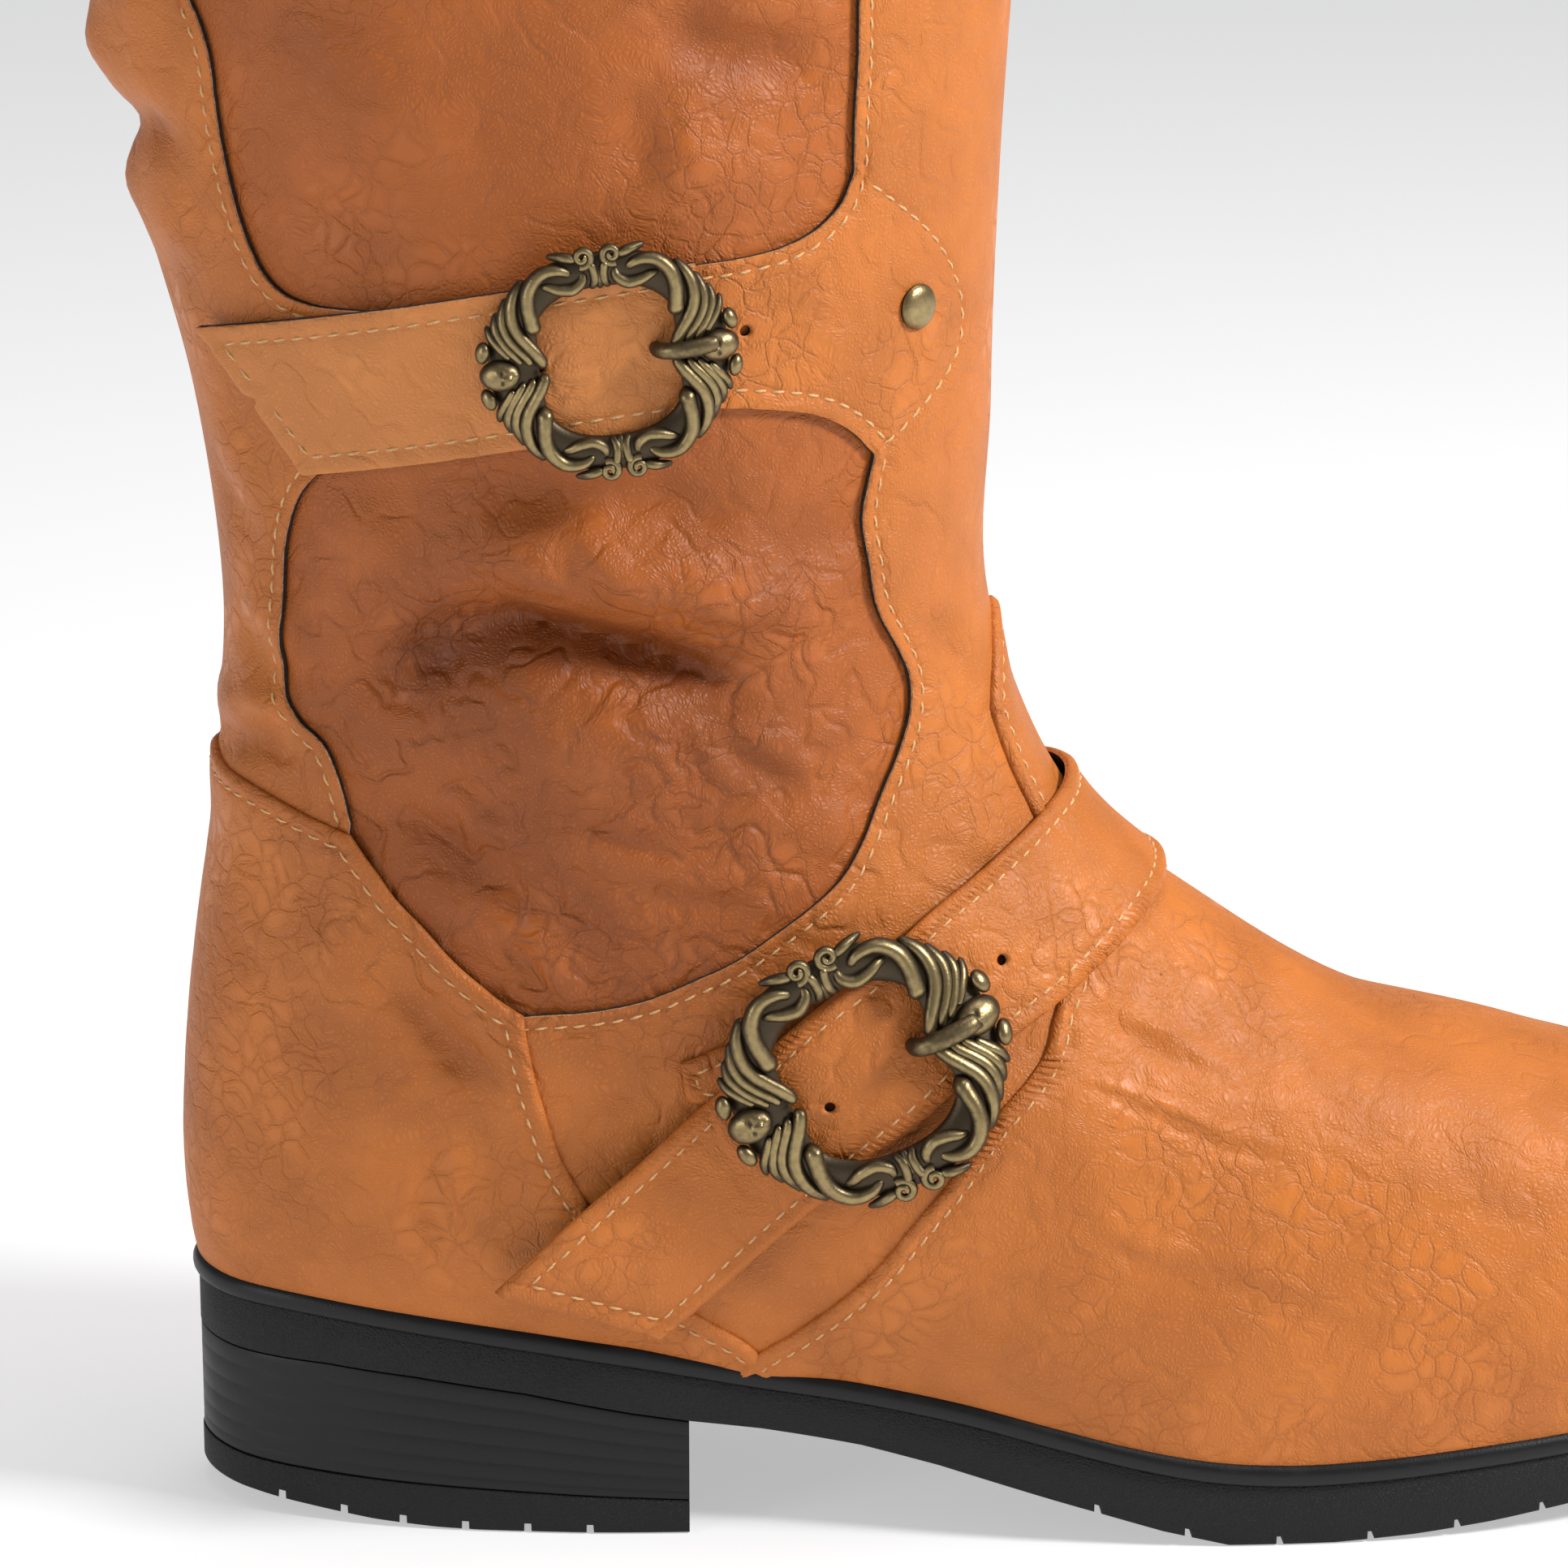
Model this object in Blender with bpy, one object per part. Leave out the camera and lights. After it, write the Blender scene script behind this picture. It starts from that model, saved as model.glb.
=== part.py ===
"""A right pirate boot: a hollow leather upper on a low heeled rubber sole.

Lengths are in metres. The toe points to +X, the inner side to +Y and the collar up, and the
floor is z = 0. The outlines of the leather pieces are given as places on the upper:
"round" runs from the back seam (0) over the outer side (0.25) and the front (0.5) to the
inner side (0.75), and "up" runs from the upper's lower edge (0) to the collar (1).
"""

import math

import bmesh
import bpy
import numpy as np
from mathutils.geometry import delaunay_2d_cdt

# Driving sizes of the boot
SOLE_LENGTH = 0.303
BALL_WIDTH = 0.100
BOOT_HEIGHT = 0.366
HEEL_SEAT = 0.046
BALL_SOLE = 0.016

# Leather
UPPER_WALL = 0.0018
PANEL_LIFT = 0.0008
PANEL_THICKNESS = 0.00125
STRAP_WIDTH = 0.028
STRAP_THICKNESS = 0.0016
STRAP_CLEARANCE = 0.0008
FREE_END_LIFT = 0.010

# Sole
RIM_HEIGHT = 0.0044
RIM_MARGIN = 0.0038
WALL_MARGIN = 0.0028
HEEL_LENGTH = 0.0905
TOP_PIECE_BACK = 0.0105
TOP_PIECE_FRONT = 0.0063
HEEL_BEVEL = 0.0040
TOE_SPRING = 0.0125
NOTCH_WIDTH = 0.0013
NOTCH_DEPTH = 0.0015
INSOLE_THICKNESS = 0.003

# Metal
BUCKLE_LENGTH = 0.0458
BUCKLE_WIDTH = 0.0430
BUCKLE_BAND = 0.0075
BUCKLE_DEPTH = 0.0046
INSTEP_BUCKLE_SCALE = 1.2
PRONG_WIDTH = 0.0028
RIVET_WIDTH = 0.0082

# Space left between two pieces
GAP = 0.0003

# Numbers of samples
ROUND_COUNT = 42
SOLE_COUNT = 22
PANEL_CELL = 0.0115

# Rows of the upper's mesh, closest where it bends most
UP_ROWS = (
    0.0, 0.065, 0.120, 0.170, 0.220, 0.265, 0.305, 0.340, 0.372, 0.402, 0.430, 0.458, 0.492,
    0.540,
    0.620, 0.720, 0.860, 1.0,
)

UPPER_HEIGHT = BOOT_HEIGHT - HEEL_SEAT

# Where the half widths of a ring are given, as shares of the way from its back to its front
STATIONS = (0.02, 0.09, 0.22, 0.38, 0.54, 0.68, 0.81, 0.92, 0.985)

# Rings of the upper. Columns: name, back and front x as shares of the sole's length, each
# followed by its height over the seat as a share of the upper's height, how closely the ring
# follows the sole's curve, and the half widths at the stations as shares of the ball's width
RINGS = (
    # name, back x, back up, front x, front up, follow, half widths
    ("lower edge", 0.0099, -0.0136, 0.9868, -0.0125, 1.00, (0.135, 0.240, 0.302, 0.306, 0.380, 0.460, 0.460, 0.350, 0.165)),
    ("rim top", 0.0053, 0.0001, 0.9917, 0.0005, 1.00, (0.145, 0.255, 0.316, 0.318, 0.392, 0.472, 0.472, 0.365, 0.175)),
    ("bulge", 0.0007, 0.0281, 0.9967, 0.0312, 0.93, (0.155, 0.280, 0.345, 0.352, 0.415, 0.486, 0.490, 0.385, 0.188)),
    ("toe", -0.0013, 0.0656, 0.9884, 0.0676, 0.78, (0.160, 0.293, 0.366, 0.380, 0.428, 0.476, 0.476, 0.380, 0.190)),
    ("toe top", 0.0007, 0.1094, 0.9472, 0.1106, 0.60, (0.160, 0.290, 0.370, 0.395, 0.426, 0.440, 0.420, 0.330, 0.170)),
    ("toe box", 0.0050, 0.1563, 0.8515, 0.1362, 0.42, (0.155, 0.285, 0.370, 0.405, 0.426, 0.410, 0.365, 0.270, 0.135)),
    ("forefoot", 0.0119, 0.2063, 0.7343, 0.1575, 0.28, (0.155, 0.280, 0.370, 0.413, 0.426, 0.396, 0.325, 0.230, 0.108)),
    ("instep", 0.0211, 0.2626, 0.6337, 0.2014, 0.15, (0.155, 0.275, 0.373, 0.426, 0.436, 0.396, 0.315, 0.215, 0.100)),
    ("throat", 0.0284, 0.3250, 0.5429, 0.2616, 0.05, (0.155, 0.280, 0.386, 0.450, 0.456, 0.416, 0.330, 0.220, 0.100)),
    ("ankle", 0.0327, 0.4000, 0.4861, 0.3750, 0.00, (0.160, 0.295, 0.413, 0.472, 0.482, 0.446, 0.362, 0.245, 0.110)),
    ("lower shaft", 0.0185, 0.5188, 0.4832, 0.5062, 0.00, (0.170, 0.310, 0.435, 0.500, 0.510, 0.475, 0.390, 0.265, 0.120)),
    ("calf", -0.0139, 0.6438, 0.4871, 0.6406, 0.00, (0.180, 0.330, 0.465, 0.535, 0.545, 0.505, 0.415, 0.285, 0.130)),
    ("upper shaft", -0.0340, 0.7500, 0.4937, 0.7469, 0.00, (0.185, 0.340, 0.480, 0.550, 0.560, 0.520, 0.430, 0.295, 0.135)),
    ("top band", -0.0429, 0.8750, 0.5030, 0.8750, 0.00, (0.190, 0.346, 0.490, 0.563, 0.574, 0.534, 0.440, 0.300, 0.138)),
    ("collar", -0.0479, 1.0000, 0.5116, 1.0000, 0.00, (0.192, 0.350, 0.498, 0.574, 0.585, 0.545, 0.450, 0.305, 0.140)),
)

# How much wider the inner side of the sole is than its outer side at each station
INNER_SIDE = (0.0, 0.0, -0.04, -0.13, -0.15, 0.0, 0.07, 0.04, 0.0)

# The rim's top. Columns: share of the sole's length, share of the rise from ball to seat
RIM_TOP = (
    (0.0, 1.0), (0.046, 0.987), (0.099, 0.94), (0.172, 0.85), (0.264, 0.713), (0.343, 0.567),
    (0.416, 0.46), (0.469, 0.367), (0.521, 0.24), (0.568, 0.12), (0.614, 0.033), (0.66, 0.0),
    (0.71, 0.01), (0.772, 0.053), (0.838, 0.1), (0.917, 0.187), (1.0, 0.307),
)

# The underside of the sole. Columns: share of the sole's length, share of the seat's height
SOLE_UNDERSIDE = (
    (0.0, 0.685), (0.08, 0.678), (0.132, 0.652), (0.2, 0.596), (0.264, 0.517), (0.3, 0.480),
    (0.343, 0.446), (0.403, 0.383), (0.45, 0.313), (0.5, 0.222), (0.546, 0.137), (0.585, 0.061),
    (0.625, 0.0), (0.69, 0.0),
)
# Past the ball it rises to the toe. Columns: share of the length, share of the toe spring
TOE_UNDERSIDE = ((0.69, 0.0), (0.74, 0.07), (0.79, 0.19), (0.85, 0.38), (0.92, 0.67), (1.0, 1.0))

# The heel's underside. Columns: share of the sole's length, share of the heel's bevel
HEEL_UNDERSIDE = ((0.0, 1.0), (0.033, 0.86), (0.066, 0.6), (0.106, 0.25), (0.145, 0.05), (0.17, 0.0), (1.0, 0.0))

# Grooves across the tread, as shares of the sole's length
HEEL_GROOVES = (0.050, 0.088, 0.124, 0.162, 0.200, 0.238)
FOREFOOT_GROOVES = (0.545, 0.600, 0.656, 0.712, 0.766, 0.820, 0.874, 0.928)

# Outlines of the leather on the outer half, as places (round, up)
COUNTER_EDGE = (
    (0.0, 0.376), (0.013, 0.372), (0.054, 0.368), (0.079, 0.363), (0.100, 0.357), (0.108, 0.352),
    (0.113, 0.336), (0.121, 0.313), (0.130, 0.295), (0.138, 0.274), (0.147, 0.255), (0.156, 0.238),
    (0.151, 0.202), (0.147, 0.156), (0.146, 0.122), (0.150, 0.095), (0.160, 0.064), (0.174, 0.040),
    (0.186, 0.032), (0.186, -0.02),
)
VAMP_EDGE = (
    (0.191, -0.02), (0.191, 0.020), (0.199, 0.040), (0.213, 0.065), (0.235, 0.111), (0.277, 0.187),
    (0.298, 0.216), (0.318, 0.243), (0.344, 0.280), (0.362, 0.300), (0.385, 0.325), (0.412, 0.357),
    (0.438, 0.402), (0.442, 0.426), (0.446, 0.450), (0.465, 0.471), (0.489, 0.484), (0.5, 0.487),
)
UPPER_WINDOW = (
    (0.092, 0.780), (0.097, 0.760), (0.0955, 0.735), (0.0955, 0.705), (0.097, 0.688), (0.098, 0.674),
    (0.102, 0.661), (0.109, 0.653), (0.120, 0.649), (0.138, 0.648), (0.160, 0.648), (0.212, 0.655),
    (0.260, 0.664), (0.298, 0.673), (0.318, 0.674), (0.339, 0.678), (0.355, 0.685), (0.367, 0.696),
    (0.373, 0.709), (0.373, 0.735), (0.374, 0.760), (0.373, 0.800), (0.374, 0.850), (0.374, 0.885),
    (0.370, 0.912), (0.356, 0.929), (0.335, 0.935), (0.135, 0.935), (0.113, 0.930), (0.097, 0.914),
    (0.090, 0.885), (0.089, 0.830),
)
LOWER_WINDOW = (
    (0.098, 0.554), (0.083, 0.528), (0.075, 0.489), (0.072, 0.459), (0.074, 0.438), (0.082, 0.424),
    (0.096, 0.411), (0.103, 0.389), (0.106, 0.362), (0.098, 0.340), (0.120, 0.255), (0.144, 0.231),
    (0.161, 0.239), (0.175, 0.246), (0.199, 0.263), (0.226, 0.289), (0.266, 0.328), (0.287, 0.347),
    (0.317, 0.374), (0.339, 0.398), (0.360, 0.421), (0.379, 0.440), (0.394, 0.458), (0.397, 0.470),
    (0.394, 0.484), (0.388, 0.497), (0.384, 0.508), (0.380, 0.527), (0.379, 0.545), (0.380, 0.562),
    (0.383, 0.576), (0.369, 0.589), (0.352, 0.598), (0.327, 0.603), (0.303, 0.605), (0.260, 0.603),
    (0.216, 0.599), (0.157, 0.588), (0.115, 0.571),
)

# Centre lines of the two straps as places (round, up), from the free end onwards
SHAFT_STRAP_LINE = ((0.080, 0.598), (0.120, 0.606), (0.165, 0.615), (0.210, 0.624), (0.256, 0.632), (0.312, 0.640))
INSTEP_STRAP_LINE = (
    (0.1475, 0.042), (0.172, 0.088), (0.205, 0.148), (0.230, 0.190), (0.253, 0.224), (0.285, 0.263),
    (0.319, 0.298), (0.352, 0.323), (0.398, 0.352), (0.437, 0.370), (0.470, 0.379), (0.500, 0.382),
    (0.530, 0.379), (0.563, 0.370), (0.602, 0.352), (0.648, 0.323), (0.681, 0.298), (0.715, 0.263),
    (0.747, 0.224), (0.770, 0.190), (0.795, 0.148), (0.820, 0.095), (0.838, 0.035),
)
# How far the free ends slant, as shares of the strap's width
SHAFT_STRAP_SLANT = -0.52
INSTEP_STRAP_SLANT = -0.54

BUCKLE_TAB = ((0.189, 0.174), (0.196, 0.210), (0.216, 0.234), (0.240, 0.240), (0.240, 0.205), (0.215, 0.165))
SHAFT_BUCKLE_PLACE = (0.256, 0.632)
INSTEP_BUCKLE_PLACE = (0.254, 0.226)
RIVET_PLACE = (0.407, 0.642)

# Height of the straps over the upper
STRAP_LIFT = PANEL_LIFT + PANEL_THICKNESS + STRAP_CLEARANCE
INSTEP_STRAP_LIFT = STRAP_LIFT + PANEL_THICKNESS + STRAP_CLEARANCE

# Real lengths of one round and of the whole way up, which even out the plane of the outlines
ROUND_SCALE = 4.5 * BALL_WIDTH
UP_SCALE = 1.1 * UPPER_HEIGHT
PLANE = np.array((ROUND_SCALE, UP_SCALE))


def clear_scene():
    """Remove everything that the startup scene holds."""
    for item in list(bpy.data.objects):
        bpy.data.objects.remove(item)


def finish(name, colour, roughness, metallic=0.0):
    """Return a new Principled material."""
    material = bpy.data.materials.new(name)
    material.use_nodes = True
    shader = material.node_tree.nodes["Principled BSDF"]
    shader.inputs["Base Color"].default_value = (*colour, 1.0)
    shader.inputs["Roughness"].default_value = roughness
    shader.inputs["Metallic"].default_value = metallic
    return material


def spline(knots, values, places):
    """Read a smooth curve through rows of values at the places asked for."""
    knots = np.asarray(knots, float)
    values = np.asarray(values, float)
    slopes = np.gradient(values, knots, axis=0, edge_order=1)
    places = np.clip(places, knots[0], knots[-1])
    low = np.clip(np.searchsorted(knots, places, side="right") - 1, 0, len(knots) - 2)
    step = knots[low + 1] - knots[low]
    t = (places - knots[low]) / step
    if values.ndim == 2:
        t = t[:, None]
        step = step[:, None]
    start = (2 * t**3 - 3 * t**2 + 1) * values[low] + (t**3 - 2 * t**2 + t) * step * slopes[low]
    end = (3 * t**2 - 2 * t**3) * values[low + 1] + (t**3 - t**2) * step * slopes[low + 1]
    return start + end


def rim_top(x):
    """Return the height of the rim's top at each x."""
    share = spline([row[0] for row in RIM_TOP], [row[1] for row in RIM_TOP], np.asarray(x) / SOLE_LENGTH)
    return BALL_SOLE + share * (HEEL_SEAT - BALL_SOLE)


def sole_underside(x):
    """Return the height of the sole's underside at each x, leaving the heel out."""
    share = np.asarray(x) / SOLE_LENGTH
    back = np.interp(share, [row[0] for row in SOLE_UNDERSIDE], [row[1] for row in SOLE_UNDERSIDE])
    front = np.interp(share, [row[0] for row in TOE_UNDERSIDE], [row[1] for row in TOE_UNDERSIDE])
    return back * HEEL_SEAT + front * TOE_SPRING


def heel_underside(x):
    """Return the height of the heel's underside at each x."""
    share = np.asarray(x) / SOLE_LENGTH
    return np.interp(share, [row[0] for row in HEEL_UNDERSIDE], [row[1] for row in HEEL_UNDERSIDE]) * HEEL_BEVEL


def top_piece_line(x):
    """Return the height of the line between the heel and its top piece at each x."""
    return np.interp(x, (0.0, HEEL_LENGTH), (TOP_PIECE_BACK, TOP_PIECE_FRONT))


def ring_rows():
    """Return each ring as one row of numbers: both ends, how it follows the sole, half widths."""
    rows = []
    for _, back, back_up, front, front_up, follow, widths in RINGS:
        ends = (back * SOLE_LENGTH, back_up * UPPER_HEIGHT, front * SOLE_LENGTH, front_up * UPPER_HEIGHT)
        rows.append((*ends, follow, *(width * BALL_WIDTH for width in widths)))
    return np.array(rows)


def end_heights(rows):
    """Return the heights of the rings' back and front ends."""
    level = (1 - rows[:, 4]) * HEEL_SEAT
    back = rows[:, 1] + rows[:, 4] * rim_top(rows[:, 0]) + level
    front = rows[:, 3] + rows[:, 4] * rim_top(rows[:, 2]) + level
    return back, front


def up_knots(rows):
    """Return how far up each ring is, as the mean length of the back and front profiles."""
    back, front = end_heights(rows)
    along_back = np.hypot(np.diff(rows[:, 0]), np.diff(back))
    along_front = np.hypot(np.diff(rows[:, 2]), np.diff(front))
    knots = np.concatenate([[0.0], np.cumsum(along_back + along_front)])
    return knots / knots[-1]


def round_knots():
    """Return how far round each station is, as on an ellipse."""
    share = np.array((0.0, *STATIONS, 1.0))
    width = 0.33 * np.sqrt(np.clip(1 - (2 * share - 1) ** 2, 0, 1))
    half = np.concatenate([[0.0], np.cumsum(np.hypot(np.diff(share), np.diff(width)))])
    half /= 2 * half[-1]
    return np.concatenate([half, 1 - half[-2::-1]])


RING_ROWS = ring_rows()
UP_KNOTS = up_knots(RING_ROWS)
ROUND_KNOTS = round_knots()


def read_ring(knots, values, places):
    """Read a closed smooth curve, whose values are one row per place, at the places."""
    count = values.shape[1]
    row = np.arange(len(places))
    knots = np.concatenate([knots[-2:-1] - 1, knots[:-1], [1.0, 1 + knots[1]]])
    values = np.concatenate([values[:, -1:], values, values[:, :2]], axis=1)
    low = np.clip(np.searchsorted(knots[1:-2], places, side="right"), 1, count)

    def slope(at):
        before = knots[at] - knots[at - 1]
        after = knots[at + 1] - knots[at]
        rise_before = (values[row, at] - values[row, at - 1]) / before
        rise_after = (values[row, at + 1] - values[row, at]) / after
        return (rise_before * after + rise_after * before) / (before + after)

    step = knots[low + 1] - knots[low]
    t = (places - knots[low]) / step
    start = (2 * t**3 - 3 * t**2 + 1) * values[row, low] + (t**3 - 2 * t**2 + t) * step * slope(low)
    end = (3 * t**2 - 2 * t**3) * values[row, low + 1] + (t**3 - t**2) * step * slope(low + 1)
    return start + end


def surface(around, up):
    """Return points of the upper's outer face at places (round, up)."""
    around, up = np.broadcast_arrays(np.atleast_1d(around) % 1.0, np.atleast_1d(up))
    shape = around.shape
    around = around.ravel().astype(float)
    row = spline(UP_KNOTS, RING_ROWS, up.ravel().astype(float))
    back_x, back_up, front_x, front_up, follow = row[:, :5].T
    widths = row[:, 5:]
    inner = np.array(INNER_SIDE) * follow[:, None]
    zero = np.zeros((len(row), 1))
    across = np.concatenate([zero, -widths * (1 - inner), zero, (widths * (1 + inner))[:, ::-1]], axis=1)
    along = np.broadcast_to(np.array((0.0, *STATIONS, 1.0, *STATIONS[::-1])), across.shape)
    share = read_ring(ROUND_KNOTS, along, around)
    y = read_ring(ROUND_KNOTS, across, around)
    x = back_x + share * (front_x - back_x)
    z = back_up + share * (front_up - back_up) + follow * rim_top(x) + (1 - follow) * HEEL_SEAT
    return np.stack([x, y, z], axis=-1).reshape(*shape, 3)


def outward(around, up):
    """Return unit vectors that point out of the upper at places (round, up)."""
    step = 0.001
    around, up = np.broadcast_arrays(np.atleast_1d(around), np.atleast_1d(up))
    along_round = surface(around + step, up) - surface(around - step, up)
    low = np.clip(up - step, 0.0, 1.0)
    high = np.clip(up + step, 0.0, 1.0)
    along_up = surface(around, high) - surface(around, low)
    normal = np.cross(along_round, along_up)
    return normal / np.linalg.norm(normal, axis=-1, keepdims=True)


def over(around, up, height):
    """Return points at a height over the upper."""
    return surface(around, up) + outward(around, up) * np.asarray(height)[..., None]


def mesh_object(name, points, faces, material, weld=0.0):
    """Make a mesh object, moved so that the origin lies on the heel's floor face."""
    mesh = bpy.data.meshes.new(name)
    moved = np.asarray(points, float) - np.array((ORIGIN_X, 0.0, 0.0))
    mesh.from_pydata(moved.tolist(), [], [tuple(int(i) for i in face) for face in faces])
    work = bmesh.new()
    work.from_mesh(mesh)
    if weld:
        bmesh.ops.remove_doubles(work, verts=work.verts, dist=weld)
        bmesh.ops.dissolve_degenerate(work, dist=weld, edges=work.edges)
    bmesh.ops.triangulate(work, faces=work.faces)
    bmesh.ops.recalc_face_normals(work, faces=work.faces)
    work.to_mesh(mesh)
    work.free()
    item = bpy.data.objects.new(name, mesh)
    bpy.context.scene.collection.objects.link(item)
    mesh.materials.append(material)
    for face in mesh.polygons:
        face.use_smooth = True
    return item


def grid_faces(rows, columns, offset=0, closed=True):
    """Return the quads of a grid whose points are listed row by row."""
    faces = []
    for row in range(rows - 1):
        for column in range(columns if closed else columns - 1):
            following = (column + 1) % columns
            low = offset + row * columns
            faces.append((low + column, low + following, low + columns + following, low + columns + column))
    return faces


def loops_object(name, loops, material, closed_ends=True, weld=0.0):
    """Make a solid from closed loops of equal counts, joined in turn."""
    loops = np.asarray(loops)
    rows, columns = loops.shape[:2]
    faces = grid_faces(rows, columns)
    if closed_ends:
        faces.append(tuple(range(columns)))
        faces.append(tuple((rows - 1) * columns + i for i in range(columns)))
    else:
        faces += [
            ((rows - 1) * columns + i, (rows - 1) * columns + (i + 1) % columns, (i + 1) % columns, i)
            for i in range(columns)
        ]
    return mesh_object(name, loops.reshape(-1, 3), faces, material, weld)


def plan_ring(around, up, margin):
    """Return the x and y of a ring of the upper, moved out level by a margin."""
    step = 0.001
    centre = surface(around, up)[:, :2]
    along = (surface(around + step, up) - surface(around - step, up))[:, :2]
    out = np.stack([along[:, 1], -along[:, 0]], axis=1)
    return centre + margin * out / np.linalg.norm(out, axis=1, keepdims=True)


def smoothed(outline, cell, closed):
    """Return a polyline on the plane of the outlines with corners no further apart than the cell."""
    corners = np.asarray(outline, float) * PLANE
    if closed:
        corners = np.concatenate([corners, corners[:1]])
    result = []
    for start, end in zip(corners[:-1], corners[1:]):
        count = max(1, math.ceil(np.linalg.norm(end - start) / cell))
        result += [start + (end - start) * i / count for i in range(count)]
    if not closed:
        result.append(corners[-1])
    return np.array(result)


def within(points, outline):
    """Tell which points lie inside a closed outline."""
    inside = np.zeros(len(points), bool)
    x, y = points.T
    for (ax, ay), (bx, by) in zip(outline, np.roll(outline, -1, axis=0)):
        crosses = (ay > y) != (by > y)
        if not crosses.any():
            continue
        with np.errstate(divide="ignore", invalid="ignore"):
            at = ax + (y - ay) * (bx - ax) / (by - ay)
        inside ^= crosses & (x < at)
    return inside


def distance_to(points, outline):
    """Return how far each point is from a closed outline."""
    nearest = np.full(len(points), np.inf)
    for start, end in zip(outline, np.roll(outline, -1, axis=0)):
        along = end - start
        t = np.clip(((points - start) @ along) / max(along @ along, 1e-18), 0, 1)
        nearest = np.minimum(nearest, np.linalg.norm(points - start - t[:, None] * along, axis=1))
    return nearest


def grown(outline, distance):
    """Move a closed outline out by a distance, given on the plane of the outlines."""
    corners = np.asarray(outline, float) * PLANE
    before = corners - np.roll(corners, 1, axis=0)
    after = np.roll(corners, -1, axis=0) - corners
    along = before / np.linalg.norm(before, axis=1, keepdims=True)
    along += after / np.linalg.norm(after, axis=1, keepdims=True)
    out = np.stack([along[:, 1], -along[:, 0]], axis=1)
    out /= np.maximum(np.linalg.norm(out, axis=1, keepdims=True), 1e-9)
    area = np.sum(corners[:, 0] * np.roll(corners[:, 1], -1) - corners[:, 1] * np.roll(corners[:, 0], -1))
    return (corners + out * distance * np.sign(area)) / PLANE


def mirrored(outline):
    """Return an outline of the outer side on the inner side."""
    return [(1.0 - around, up) for around, up in outline][::-1]


def panel(name, inside, outside, lift, thickness, material, cell=PANEL_CELL):
    """Make a sheet that follows the upper.

    Args:
        inside: the sheet's closed outline, as places.
        outside: closed outlines that are cut away.
        lift: height over the upper, a number or a function of places.
        thickness: the sheet's thickness.
        material: its finish.
        cell: the greatest side of a facet.
    """
    outlines = [smoothed(outline, cell, True) for outline in (inside, *outside)]
    points = []
    edges = []
    for outline in outlines:
        first = len(points)
        points += outline.tolist()
        edges += [(first + i, first + (i + 1) % len(outline)) for i in range(len(outline))]
    columns = np.arange(-ROUND_COUNT // 2, ROUND_COUNT + 1) / ROUND_COUNT
    rows = np.sort((*UP_ROWS, *(np.add(UP_ROWS[:-1], UP_ROWS[1:]) / 2)[np.diff(UP_ROWS) > 0.05]))
    seeds = np.array([(x, y) for y in rows for x in columns]) * PLANE
    keep = within(seeds, outlines[0])
    for outline in outlines:
        keep &= distance_to(seeds, outline) > 0.12 * cell
    for outline in outlines[1:]:
        keep &= ~within(seeds, outline)
    points += seeds[keep].tolist()
    flat, _, triangles, *_ = delaunay_2d_cdt(points, edges, [], 0, 1e-6)
    flat = np.array([tuple(point) for point in flat])
    triangles = np.array(triangles)
    centres = flat[triangles].mean(axis=1)
    chosen = within(centres, outlines[0])
    for outline in outlines[1:]:
        chosen &= ~within(centres, outline)
    corner = flat[triangles]
    area = np.cross(corner[:, 1] - corner[:, 0], corner[:, 2] - corner[:, 0])
    triangles = triangles[chosen & (np.abs(area) > 1e-12)]
    places = flat / PLANE
    keys = np.round(places, 5)
    keys[:, 0] %= 1.0
    _, first, index = np.unique(keys, axis=0, return_index=True, return_inverse=True)
    triangles = index.reshape(-1)[triangles]
    places = places[first]
    used, triangles = np.unique(triangles, return_inverse=True)
    triangles = triangles.reshape(-1, 3)
    places = places[used]
    height = lift(places) if callable(lift) else np.full(len(places), lift)
    under = over(places[:, 0], places[:, 1], height)
    upper = over(places[:, 0], places[:, 1], height + thickness)
    count = len(places)
    faces = [tuple(face) for face in triangles + count]
    faces += [tuple(face[::-1]) for face in triangles]
    sides = {}
    for a, b, c in triangles.tolist():
        for start, end in ((a, b), (b, c), (c, a)):
            sides[(start, end)] = sides.get((start, end), 0) + 1
    for start, end in sides:
        if (end, start) not in sides:
            faces.append((start, end, end + count, start + count))
    return mesh_object(name, np.concatenate([under, upper]), faces, material)


def strap_outline(line, width, slant=0.0):
    """Return the closed outline of a strap from its centre line, in places.

    The strap's width is measured on the upper, so it stays even where the rings crowd.
    """
    line = np.asarray(line, float)
    step = 0.002
    along = np.gradient(line, axis=0)
    centre = surface(line[:, 0], line[:, 1])
    by_round = (surface(line[:, 0] + step, line[:, 1]) - surface(line[:, 0] - step, line[:, 1])) / (2 * step)
    by_up = (surface(line[:, 0], line[:, 1] + step) - surface(line[:, 0], line[:, 1] - step)) / (2 * step)
    normal = outward(line[:, 0], line[:, 1])
    real = by_round * along[:, :1] + by_up * along[:, 1:]
    real /= np.linalg.norm(real, axis=1, keepdims=True)
    across = np.cross(normal, real)
    shift = np.zeros(len(line))
    shift[0] = slant * width / 2
    edges = []
    for side in (1.0, -1.0):
        target = across * side * width / 2 + real * (shift * side)[:, None]
        places = []
        for place, first, second, want in zip(line, by_round, by_up, target):
            basis = np.stack([first, second], axis=1)
            move = np.linalg.lstsq(basis, want, rcond=None)[0]
            places.append(tuple(place + move))
        edges.append(places)
    del centre
    return edges[0] + edges[1][::-1]


def bend_terms(a, b):
    """Return the terms of a fourth-degree polynomial in two lengths."""
    a = a / STRAP_WIDTH
    b = b / STRAP_WIDTH
    return np.stack([a**i * b**j for i in range(5) for j in range(5 - i)], axis=-1)


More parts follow.
